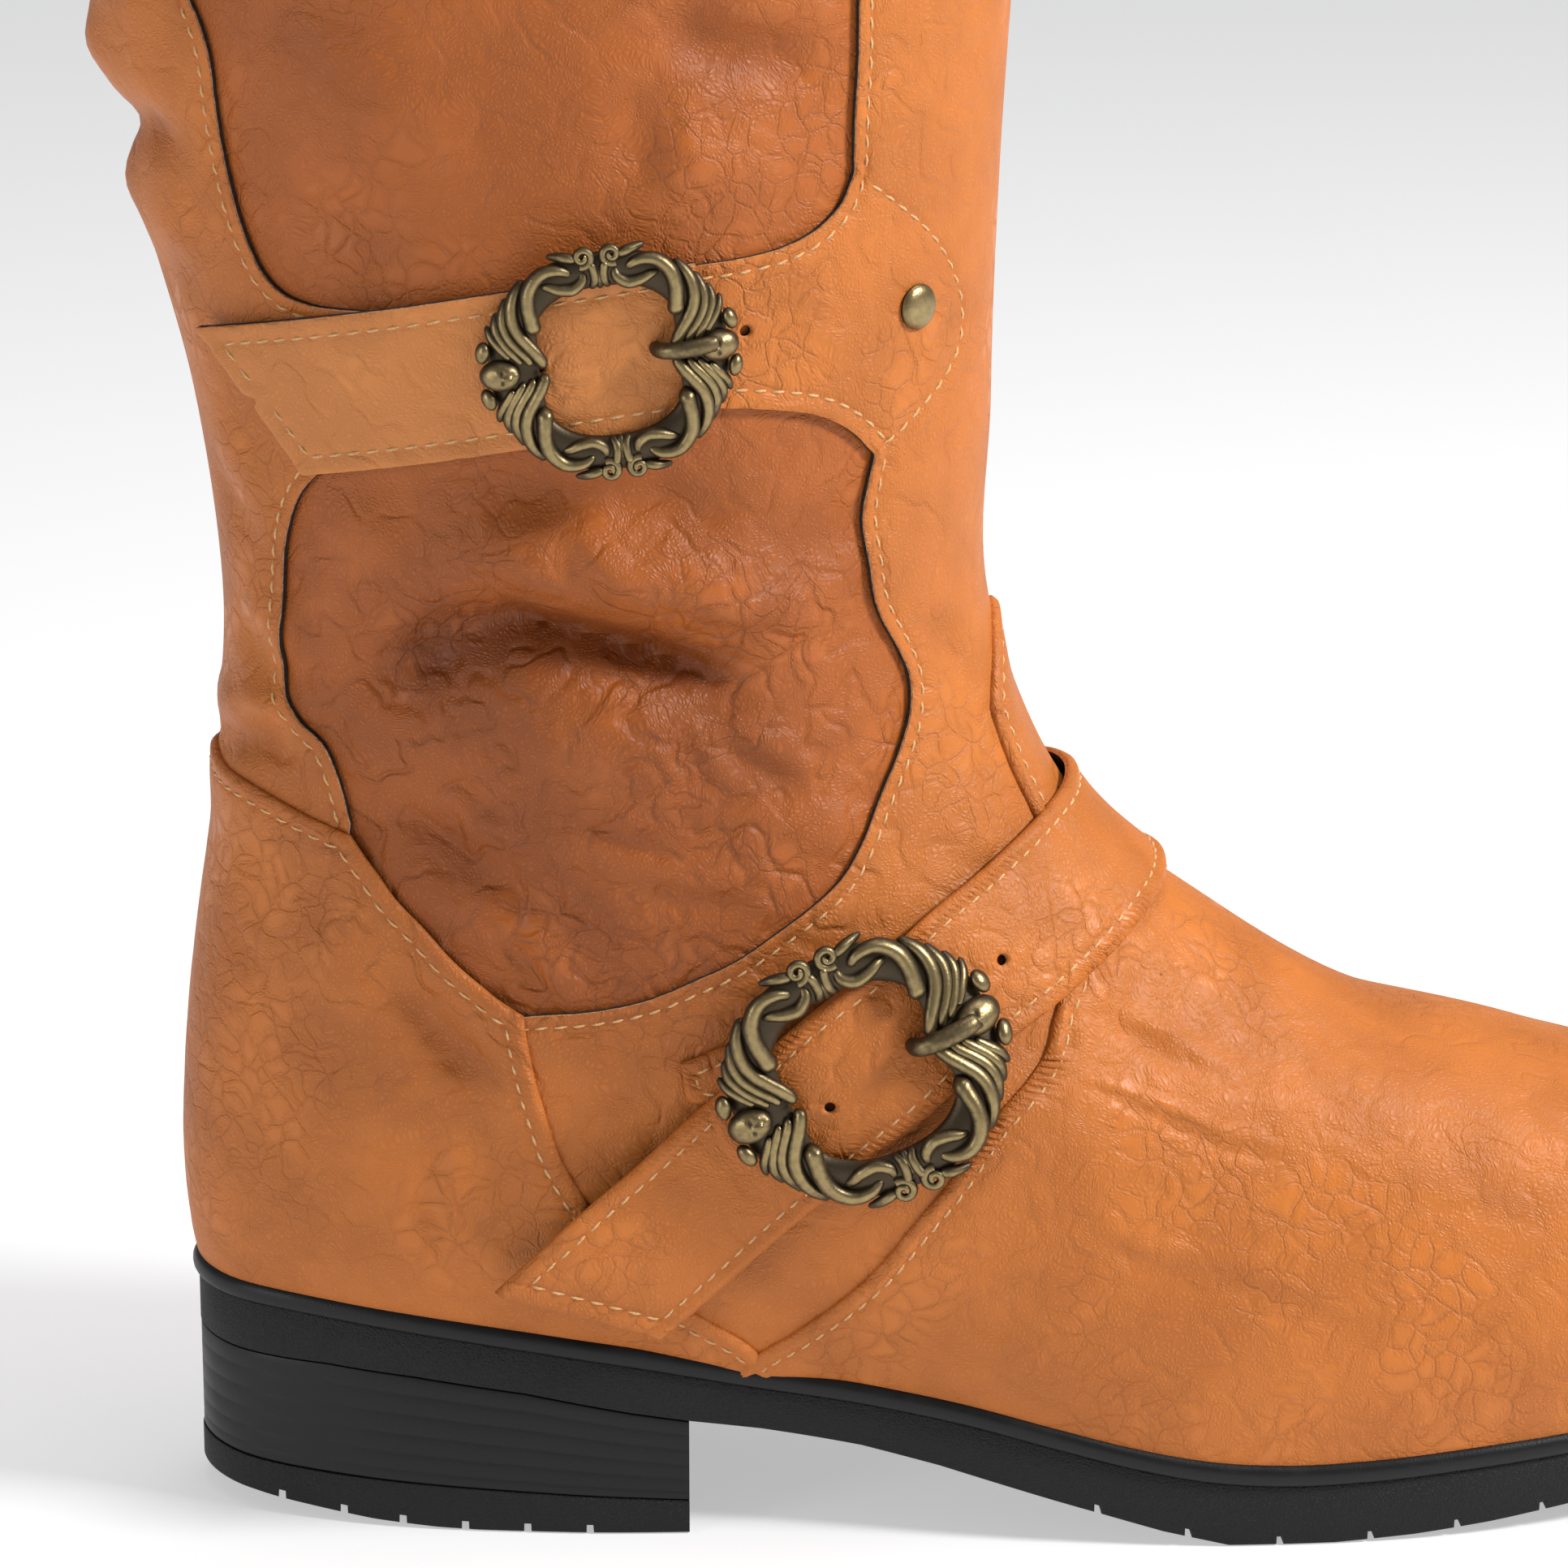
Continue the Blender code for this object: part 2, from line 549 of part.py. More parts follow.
def local_frame(place, toward, reach=0.026):
    """Return a frame on the upper: its centre, three unit vectors and how it bends away.

    The first vector points along the upper from the place towards another one, the second lies
    across it and the third points outward. The bend is fitted to the upper within the reach.
    """
    step = 0.002
    around, up = place
    centre = surface(around, up)[0]
    by_round = (surface(around + step, up) - surface(around - step, up))[0]
    by_up = (surface(around, up + step) - surface(around, up - step))[0]
    normal = outward(around, up)[0]
    along = by_round * (toward[0] - around) + by_up * (toward[1] - up)
    along /= np.linalg.norm(along)
    across = np.cross(normal, along)
    grid_round, grid_up = np.meshgrid(np.linspace(-0.08, 0.08, 41) + around, np.linspace(-0.11, 0.11, 41) + up)
    offset = surface(grid_round, np.clip(grid_up, 0, 1)).reshape(-1, 3) - centre
    a, b, c = offset @ along, offset @ across, offset @ normal
    near = (np.hypot(a, b) < reach) & (np.abs(c) < reach)
    terms = bend_terms(a[near], b[near])
    bend = np.linalg.lstsq(terms, c[near], rcond=None)[0]
    return centre, along, across, normal, bend


def local_points(frame, a, b, height):
    """Return points at distances along and across a frame, at a height over the bent upper."""
    centre, along, across, normal, bend = frame
    a, b, height = np.broadcast_arrays(np.asarray(a, float), np.asarray(b, float), np.asarray(height, float))
    rise = height + bend_terms(a, b) @ bend
    return centre + a[..., None] * along + b[..., None] * across + rise[..., None] * normal


def upper_shell(material):
    """Make the hollow upper, open at the collar and underneath."""
    around = np.arange(ROUND_COUNT) / ROUND_COUNT
    up = np.array((UP_ROWS[0], UP_KNOTS[1], *UP_ROWS[1:]))
    grid_round, grid_up = np.meshgrid(around, up)
    outer = surface(grid_round, grid_up)
    inner = over(grid_round, grid_up, np.full(grid_up.shape, -UPPER_WALL))
    inner[0, :, 2] = outer[0, :, 2]
    inner[-1, :, 2] = outer[-1, :, 2]
    loops = np.concatenate([outer, inner[::-1]])
    return loops_object("upper", loops, material, closed_ends=False)


def sole_stations(up, margin, count, last_x=None, also=()):
    """Return plan outlines of both sides from the heel's back to the toe, or to last_x.

    Stations are added at each x in also, where the underside bends.
    """
    half = np.linspace(0.0, 0.5, 4001)
    outer = plan_ring(half, np.full(len(half), up), margin)
    inner = plan_ring(1.0 - half, np.full(len(half), up), margin)
    first_x = outer[0, 0]
    end_x = outer[-1, 0] if last_x is None else last_x
    turn = np.linspace(0.0, math.pi if last_x is None else math.pi / 2, count)
    if last_x is None:
        stations = first_x + (end_x - first_x) * (1 - np.cos(turn)) / 2
    else:
        stations = first_x + (end_x - first_x) * (1 - np.cos(turn))
    stations = np.sort(np.concatenate([stations, also]))
    sides = []
    for side in (outer, inner):
        y = np.interp(stations, side[:, 0], side[:, 1])
        if last_x is None:
            y[-1] = 0.0
        y[0] = 0.0
        sides.append(np.stack([stations, y], axis=1))
    return sides


def plate(name, sides, top, bottom, material, columns=5):
    """Make a plate between two plan outlines, with heights given as functions of x."""
    outer, inner = sides
    share = np.linspace(0.0, 1.0, columns)
    plan = outer[:, None] + share[None, :, None] * (inner - outer)[:, None]
    upper_face = np.concatenate([plan, top(plan[..., :1])], axis=-1)
    lower_face = np.concatenate([plan, bottom(plan[..., :1])], axis=-1)
    loops = np.concatenate([upper_face, lower_face[:, ::-1]], axis=1)
    return loops_object(name, loops, material, weld=1e-5)


def groove_cutter(shares, underside):
    """Return a hidden cutter made of one thin box per groove across the tread."""
    points = []
    faces = []
    for share in shares:
        x = share * SOLE_LENGTH
        level = float(underside(x))
        low = (x - NOTCH_WIDTH / 2, -BALL_WIDTH, level - 0.01)
        high = (x + NOTCH_WIDTH / 2, BALL_WIDTH, level + NOTCH_DEPTH)
        first = len(points)
        for z in (low[2], high[2]):
            points += [(low[0], low[1], z), (high[0], low[1], z), (high[0], high[1], z), (low[0], high[1], z)]
        quads = ((0, 3, 2, 1), (4, 5, 6, 7), (0, 1, 5, 4), (1, 2, 6, 5), (2, 3, 7, 6), (3, 0, 4, 7))
        faces += [tuple(first + i for i in quad) for quad in quads]
    cutter = mesh_object("groove_cutter", points, faces, RUBBER)
    cutter.hide_render = True
    cutter.display_type = "WIRE"
    return cutter


def cut_with(item, cutter):
    """Take the cutter's shape out of an object."""
    modifier = item.modifiers.new("grooves", "BOOLEAN")
    modifier.operation = "DIFFERENCE"
    modifier.solver = "EXACT"
    modifier.object = cutter


def rim_ring(material):
    """Make the rounded rim that stands round the upper's lower edge."""
    around = np.arange(ROUND_COUNT) / ROUND_COUNT
    edge = plan_ring(around, np.zeros(ROUND_COUNT), RIM_MARGIN)
    inset = plan_ring(around, np.zeros(ROUND_COUNT), RIM_MARGIN - 0.0007)
    top = rim_top(edge[:, 0])
    low_in = over(around, np.zeros(ROUND_COUNT), np.full(ROUND_COUNT, GAP + 0.0002))
    high_in = over(around, np.full(ROUND_COUNT, UP_KNOTS[1] * 0.9), np.full(ROUND_COUNT, GAP + 0.0002))
    low_in[:, 2] = top - RIM_HEIGHT
    loops = [
        np.concatenate([inset, (top - RIM_HEIGHT)[:, None]], axis=1),
        np.concatenate([edge, (top - 0.7 * RIM_HEIGHT)[:, None]], axis=1),
        np.concatenate([edge, (top - 0.3 * RIM_HEIGHT)[:, None]], axis=1),
        np.concatenate([inset, (top - GAP)[:, None]], axis=1),
        np.concatenate([high_in[:, :2], (top - GAP)[:, None]], axis=1),
        low_in,
    ]
    return loops_object("sole_rim", loops, material, closed_ends=False)


def insole_plate(material):
    """Make the insole, which lies on the sole inside the upper."""
    sides = sole_stations(0.0, -UPPER_WALL - 0.0012, SOLE_COUNT)

    def bottom(x):
        return rim_top(x) - RIM_HEIGHT

    def top(x):
        return rim_top(x) - RIM_HEIGHT + INSOLE_THICKNESS

    return plate("insole", sides, top, bottom, material)


def strap_heights(base, start, end, extra):
    """Return a function of places that lifts a strap towards its free end."""

    def lift(places):
        share = np.clip((end - places[:, 0]) / (end - start), 0, 1)
        return base + extra * share**1.6

    return lift


def tube(name, frame, path, material, closed=True):
    """Make a tube on the upper. Each path row: along, across, height, half width, half depth."""
    path = np.asarray(path, float)
    sides = 8
    turn = np.arange(sides) * 2 * math.pi / sides
    flat = path[:, :2]
    along = np.roll(flat, -1, axis=0) - np.roll(flat, 1, axis=0) if closed else np.gradient(flat, axis=0)
    along /= np.linalg.norm(along, axis=1, keepdims=True)
    out = np.stack([along[:, 1], -along[:, 0]], axis=1)
    spot = flat[:, None] + out[:, None] * (np.cos(turn)[None, :, None] * path[:, 3][:, None, None])
    height = path[:, 2][:, None] + np.sin(turn)[None, :] * path[:, 4][:, None]
    loops = local_points(frame, spot[..., 0], spot[..., 1], height)
    return loops_object(name, loops, material, closed_ends=not closed)


def buckle(name, place, toward, scale, floor_height, material):
    """Make a buckle: a ring close to a rounded square, with a boss at each end along the strap."""
    frame = local_frame(place, toward, BUCKLE_LENGTH * scale * 0.52)
    band = BUCKLE_BAND * scale
    depth = BUCKLE_DEPTH * scale
    half_along = BUCKLE_WIDTH * scale / 2 - band / 2
    half_across = BUCKLE_WIDTH * scale / 2 - band / 2
    boss = (BUCKLE_LENGTH - BUCKLE_WIDTH) * scale / 2 + band * 0.25
    path = []
    for i in range(28):
        angle = 2 * math.pi * i / 28
        c, s = math.cos(angle), math.sin(angle)
        radius = 1 / (abs(c) ** 3 + abs(s) ** 3) ** (1 / 3)
        swell = max(0.0, abs(c) - 0.86) / 0.14
        half_band = band / 2 + swell * boss / 2
        half_depth = depth / 2 * (0.82 + 0.18 * swell)
        path.append((
            radius * c * half_along + math.copysign(swell * boss / 2, c) * (swell > 0) * 0.5,
            radius * s * half_across,
            floor_height + half_depth,
            half_band,
            half_depth,
        ))
    return tube(name, frame, path, material), frame


def prong(name, frame, scale, floor_height, turn, material):
    """Make the prong, which runs from the ring's boss to its hole in the strap."""
    reach = BUCKLE_LENGTH * scale / 2
    top = floor_height + BUCKLE_DEPTH * scale + GAP + PRONG_WIDTH * scale * 0.3
    half = PRONG_WIDTH * scale / 2
    rows = (
        # share of the half length, height, half width, half depth
        (1.02, top, half * 0.9, half * 0.55),
        (0.80, top + 0.0001, half, half * 0.6),
        (0.58, top - 0.0003, half * 0.95, half * 0.6),
        (0.42, floor_height + BUCKLE_DEPTH * scale * 0.45, half * 0.8, half * 0.5),
        (0.28, floor_height - GAP + half * 0.4, half * 0.55, half * 0.4),
    )
    path = [(share * reach, share * reach * turn, height, width, depth) for share, height, width, depth in rows]
    return tube(name, frame, path, material, closed=False)


def rivet(material):
    """Make the domed cap that pins the shaft strap's base."""
    frame = local_frame(RIVET_PLACE, (RIVET_PLACE[0] + 0.01, RIVET_PLACE[1]), RIVET_WIDTH)
    turn = np.arange(16) * 2 * math.pi / 16
    base = PANEL_LIFT + PANEL_THICKNESS + GAP + 0.0002
    rows = ((0.9, 0.0), (1.0, 0.0004), (0.92, 0.0012), (0.62, 0.0019), (0.25, 0.0022))
    loops = []
    for share, height in rows:
        radius = share * RIVET_WIDTH / 2
        loops.append(local_points(frame, np.cos(turn) * radius, np.sin(turn) * radius, np.full(16, base + height)))
    return loops_object("strap_rivet", loops, material)


# The origin's x lies in the middle of the heel's flat floor face
ORIGIN_X = 0.07
clear_scene()

LEATHER = finish("tan leather", (0.42, 0.165, 0.052), 0.5)
LIGHT_LEATHER = finish("light tan leather", (0.52, 0.22, 0.075), 0.5)
LINING = finish("insole board", (0.30, 0.22, 0.15), 0.8)
RUBBER = finish("black rubber", (0.02, 0.02, 0.022), 0.7)
BRASS = finish("antique brass", (0.24, 0.19, 0.11), 0.4, 1.0)

# Upper and the pieces sewn over it
upper_shell(LEATHER)
PANEL_FOOT = UP_KNOTS[1] * 1.12
SHEET = ((0.0, PANEL_FOOT), (1.0, PANEL_FOOT), (1.0, 0.997), (0.0, 0.997))

counter_half = list(COUNTER_EDGE)
counter_outline = [(around, max(up, PANEL_FOOT)) for around, up in counter_half]
counter_outline += [(-around, up) for around, up in counter_outline[:0:-1]]
vamp_half = [(around, max(up, PANEL_FOOT)) for around, up in VAMP_EDGE]
vamp_outline = vamp_half + [(1.0 - around, up) for around, up in vamp_half[-2::-1]]
counter_cut = [(-0.05, 0.376), *counter_half[:-1], (0.205, 0.024), (0.205, -0.02), (-0.05, -0.02)]
vamp_cut = [*VAMP_EDGE, *[(1.0 - around, up) for around, up in VAMP_EDGE[-2::-1]]]
cuts = [
    grown(counter_cut, 0.0009),
    grown(mirrored(counter_cut), 0.0009),
    grown(vamp_cut, 0.0009),
    UPPER_WINDOW,
    mirrored(UPPER_WINDOW),
    LOWER_WINDOW,
    mirrored(LOWER_WINDOW),
]
panel("counter", counter_outline, [], PANEL_LIFT, PANEL_THICKNESS, LEATHER)
panel("vamp", vamp_outline, [], PANEL_LIFT, PANEL_THICKNESS, LEATHER)
panel("shaft_frame", SHEET, cuts, PANEL_LIFT, PANEL_THICKNESS, LEATHER)

# Straps
panel(
    "shaft_strap",
    strap_outline(SHAFT_STRAP_LINE, STRAP_WIDTH, SHAFT_STRAP_SLANT),
    [],
    strap_heights(STRAP_LIFT, 0.06, 0.16, 0.0016),
    STRAP_THICKNESS,
    LIGHT_LEATHER,
    cell=0.008,
)


def instep_lift(places):
    """Lift the instep strap over its tab and more at its free end."""
    over_tab = np.interp(places[:, 0], (0.26, 0.42), (INSTEP_STRAP_LIFT, STRAP_LIFT))
    share = np.clip((0.194 - places[:, 0]) / 0.070, 0, 1)
    return over_tab + share**1.5 * FREE_END_LIFT * 0.75


panel(
    "instep_strap",
    strap_outline(INSTEP_STRAP_LINE, STRAP_WIDTH, INSTEP_STRAP_SLANT),
    [],
    instep_lift,
    STRAP_THICKNESS,
    LEATHER,
    cell=0.008,
)
panel("buckle_tab", BUCKLE_TAB, [], STRAP_LIFT, PANEL_THICKNESS, LEATHER, cell=0.006)

# Metal
shaft_floor = STRAP_LIFT + STRAP_THICKNESS + 2 * GAP
instep_floor = INSTEP_STRAP_LIFT + STRAP_THICKNESS + 2 * GAP
_, shaft_frame_place = buckle("shaft_buckle", SHAFT_BUCKLE_PLACE, (0.312, 0.640), 1.0, shaft_floor, BRASS)
_, instep_frame_place = buckle(
    "instep_buckle", INSTEP_BUCKLE_PLACE, (0.319, 0.298), INSTEP_BUCKLE_SCALE, instep_floor, BRASS
)
prong("shaft_prong", shaft_frame_place, 1.0, shaft_floor, 0.1, BRASS)
prong("instep_prong", instep_frame_place, INSTEP_BUCKLE_SCALE, instep_floor, 0.0, BRASS)
rivet(BRASS)

# Sole
rim_ring(RUBBER)
flat_ends = (SOLE_UNDERSIDE[-2][0] * SOLE_LENGTH, SOLE_UNDERSIDE[-1][0] * SOLE_LENGTH)
wall_sides = sole_stations(0.0, WALL_MARGIN, SOLE_COUNT, also=flat_ends)
outsole = plate(
    "outsole", wall_sides, lambda x: rim_top(x) - RIM_HEIGHT - 2 * GAP, lambda x: sole_underside(x), RUBBER, columns=6
)
cut_with(outsole, groove_cutter(FOREFOOT_GROOVES, sole_underside))
heel_sides = sole_stations(0.0, WALL_MARGIN, 14, HEEL_LENGTH)
plate("heel", heel_sides, lambda x: sole_underside(x) - GAP, lambda x: top_piece_line(x) + GAP, RUBBER)
top_piece = plate("heel_top_piece", heel_sides, lambda x: top_piece_line(x), lambda x: heel_underside(x), RUBBER)
cut_with(top_piece, groove_cutter(HEEL_GROOVES, heel_underside))
insole_plate(LINING)
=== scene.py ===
"""Dresses a tan pirate boot: creased leather, raw and folded edges, stitches, brass and rubber.

Lengths are in metres. The toe points to +X, the inner side to +Y and the collar up. The leather
is laid out by places on the boot: "round" runs from the back seam (0) over the outer side
(0.25) and the front (0.5) to the inner side (0.75), and "up" from the welt (0) to the collar (1).
"""

import logging
import math
from dataclasses import dataclass, field
from enum import Enum
from typing import Callable, Sequence

import bmesh
import bpy
import numpy as np
from mathutils import Matrix, Vector
from mathutils.geometry import delaunay_2d_cdt
from mathutils.kdtree import KDTree


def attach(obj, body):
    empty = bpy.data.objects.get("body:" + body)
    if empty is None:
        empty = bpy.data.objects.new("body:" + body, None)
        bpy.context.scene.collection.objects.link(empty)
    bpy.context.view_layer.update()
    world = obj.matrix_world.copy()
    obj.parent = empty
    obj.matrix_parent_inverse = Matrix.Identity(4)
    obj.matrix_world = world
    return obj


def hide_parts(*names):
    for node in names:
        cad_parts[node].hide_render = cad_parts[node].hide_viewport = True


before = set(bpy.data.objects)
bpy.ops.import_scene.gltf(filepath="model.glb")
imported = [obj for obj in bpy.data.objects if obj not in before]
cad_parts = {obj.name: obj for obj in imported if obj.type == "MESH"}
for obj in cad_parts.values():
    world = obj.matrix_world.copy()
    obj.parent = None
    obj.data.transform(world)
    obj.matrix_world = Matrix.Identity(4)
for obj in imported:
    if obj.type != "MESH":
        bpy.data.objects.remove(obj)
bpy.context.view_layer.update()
LOG = logging.getLogger("pirate boot")

Place = tuple[float, float]
MM = 0.001


class EdgeFinish(Enum):
    """How the edge of a leather sheet is finished."""

    FOLDED = "turned under and sewn"
    RAW = "cut and left raw over its dark backing"
    HIDDEN = "tucked under another piece"
    SEAM = "closed on itself"


class Slot(Enum):
    """The record's material slots."""

    LEATHER = "tan_leather"
    LIGHT_LEATHER = "light_tan_leather"
    BOARD = "insole_board"
    RUBBER = "black_rubber"
    BRASS = "antique_brass"


def smooth_curve(knots: np.ndarray, values: np.ndarray, places: np.ndarray) -> np.ndarray:
    """Read a smooth curve through rows of values.

    Args:
        knots: where each row lies, in rising order.
        values: one row, or one number, per knot.
        places: where to read.

    Returns:
        The values at the places.
    """
    knots = np.asarray(knots, float)
    values = np.asarray(values, float)
    slopes = np.gradient(values, knots, axis=0, edge_order=1)
    places = np.clip(places, knots[0], knots[-1])
    low = np.clip(np.searchsorted(knots, places, side="right") - 1, 0, len(knots) - 2)
    step = knots[low + 1] - knots[low]
    t = (places - knots[low]) / step
    if values.ndim == 2:
        t, step = t[:, None], step[:, None]
    start = (2 * t**3 - 3 * t**2 + 1) * values[low] + (t**3 - 2 * t**2 + t) * step * slopes[low]
    end = (3 * t**2 - 2 * t**3) * values[low + 1] + (t**3 - t**2) * step * slopes[low + 1]
    return start + end


def soft_step(low: float, high: float, value: np.ndarray) -> np.ndarray:
    """Return 0 below low, 1 above high and a smooth rise between."""
    t = np.clip((np.asarray(value, float) - low) / (high - low), 0, 1)
    return t * t * (3 - 2 * t)


def bell(value: np.ndarray, centre: float, width: float) -> np.ndarray:
    """Return a bell curve of height 1."""
    return np.exp(-(((value - centre) / width) ** 2))


STATIONS = (0.02, 0.09, 0.22, 0.38, 0.54, 0.68, 0.81, 0.92, 0.985)
# Rings of the upper: back x, back up, front x, front up, how closely it follows the sole, half widths
RINGS = (
    (0.0099, -0.0136, 0.9868, -0.0125, 1.00, (0.135, 0.240, 0.302, 0.306, 0.380, 0.460, 0.460, 0.350, 0.165)),
    (0.0053, 0.0001, 0.9917, 0.0005, 1.00, (0.145, 0.255, 0.316, 0.318, 0.392, 0.472, 0.472, 0.365, 0.175)),
    (0.0007, 0.0281, 0.9967, 0.0312, 0.93, (0.155, 0.280, 0.345, 0.352, 0.415, 0.486, 0.490, 0.385, 0.188)),
    (-0.0013, 0.0656, 0.9884, 0.0676, 0.78, (0.160, 0.293, 0.366, 0.380, 0.428, 0.476, 0.476, 0.380, 0.190)),
    (0.0007, 0.1094, 0.9472, 0.1106, 0.60, (0.160, 0.290, 0.370, 0.395, 0.426, 0.440, 0.420, 0.330, 0.170)),
    (0.0050, 0.1563, 0.8515, 0.1362, 0.42, (0.155, 0.285, 0.370, 0.405, 0.426, 0.410, 0.365, 0.270, 0.135)),
    (0.0119, 0.2063, 0.7343, 0.1575, 0.28, (0.155, 0.280, 0.370, 0.413, 0.426, 0.396, 0.325, 0.230, 0.108)),
    (0.0211, 0.2626, 0.6337, 0.2014, 0.15, (0.155, 0.275, 0.373, 0.426, 0.436, 0.396, 0.315, 0.215, 0.100)),
    (0.0284, 0.3250, 0.5429, 0.2616, 0.05, (0.155, 0.280, 0.386, 0.450, 0.456, 0.416, 0.330, 0.220, 0.100)),
    (0.0327, 0.4000, 0.4861, 0.3750, 0.00, (0.160, 0.295, 0.413, 0.472, 0.482, 0.446, 0.362, 0.245, 0.110)),
    (0.0185, 0.5188, 0.4832, 0.5062, 0.00, (0.170, 0.310, 0.435, 0.500, 0.510, 0.475, 0.390, 0.265, 0.120)),
    (-0.0139, 0.6438, 0.4871, 0.6406, 0.00, (0.180, 0.330, 0.465, 0.535, 0.545, 0.505, 0.415, 0.285, 0.130)),
    (-0.0340, 0.7500, 0.4937, 0.7469, 0.00, (0.185, 0.340, 0.480, 0.550, 0.560, 0.520, 0.430, 0.295, 0.135)),
    (-0.0429, 0.8750, 0.5030, 0.8750, 0.00, (0.190, 0.346, 0.490, 0.563, 0.574, 0.534, 0.440, 0.300, 0.138)),
    (-0.0479, 1.0000, 0.5116, 1.0000, 0.00, (0.192, 0.350, 0.498, 0.574, 0.585, 0.545, 0.450, 0.305, 0.140)),
)
INNER_SIDE = (0.0, 0.0, -0.04, -0.13, -0.15, 0.0, 0.07, 0.04, 0.0)
RIM_TOP = (
    (0.0, 1.0), (0.046, 0.987), (0.099, 0.94), (0.172, 0.85), (0.264, 0.713), (0.343, 0.567),
    (0.416, 0.46), (0.469, 0.367), (0.521, 0.24), (0.568, 0.12), (0.614, 0.033), (0.66, 0.0),
    (0.71, 0.01), (0.772, 0.053), (0.838, 0.1), (0.917, 0.187), (1.0, 0.307),
)
SOLE_UNDERSIDE = (
    (0.0, 0.685), (0.08, 0.678), (0.132, 0.652), (0.2, 0.596), (0.264, 0.517), (0.3, 0.480),
    (0.343, 0.446), (0.403, 0.383), (0.45, 0.313), (0.5, 0.222), (0.546, 0.137), (0.585, 0.061),
    (0.625, 0.0), (0.69, 0.0),
)
TOE_UNDERSIDE = ((0.69, 0.0), (0.74, 0.07), (0.79, 0.19), (0.85, 0.38), (0.92, 0.67), (1.0, 1.0))
HEEL_UNDERSIDE = (
    (0.0, 1.0), (0.033, 0.86), (0.066, 0.6), (0.106, 0.25), (0.145, 0.05), (0.17, 0.0), (1.0, 0.0)
)


@dataclass(frozen=True)
class Crease:
    """A soft trough or ridge in the leather, along a line of places."""

    line: tuple[Place, ...]
    depth: float
    width: float
    swell: float = 0.0
    ends: float = 0.30


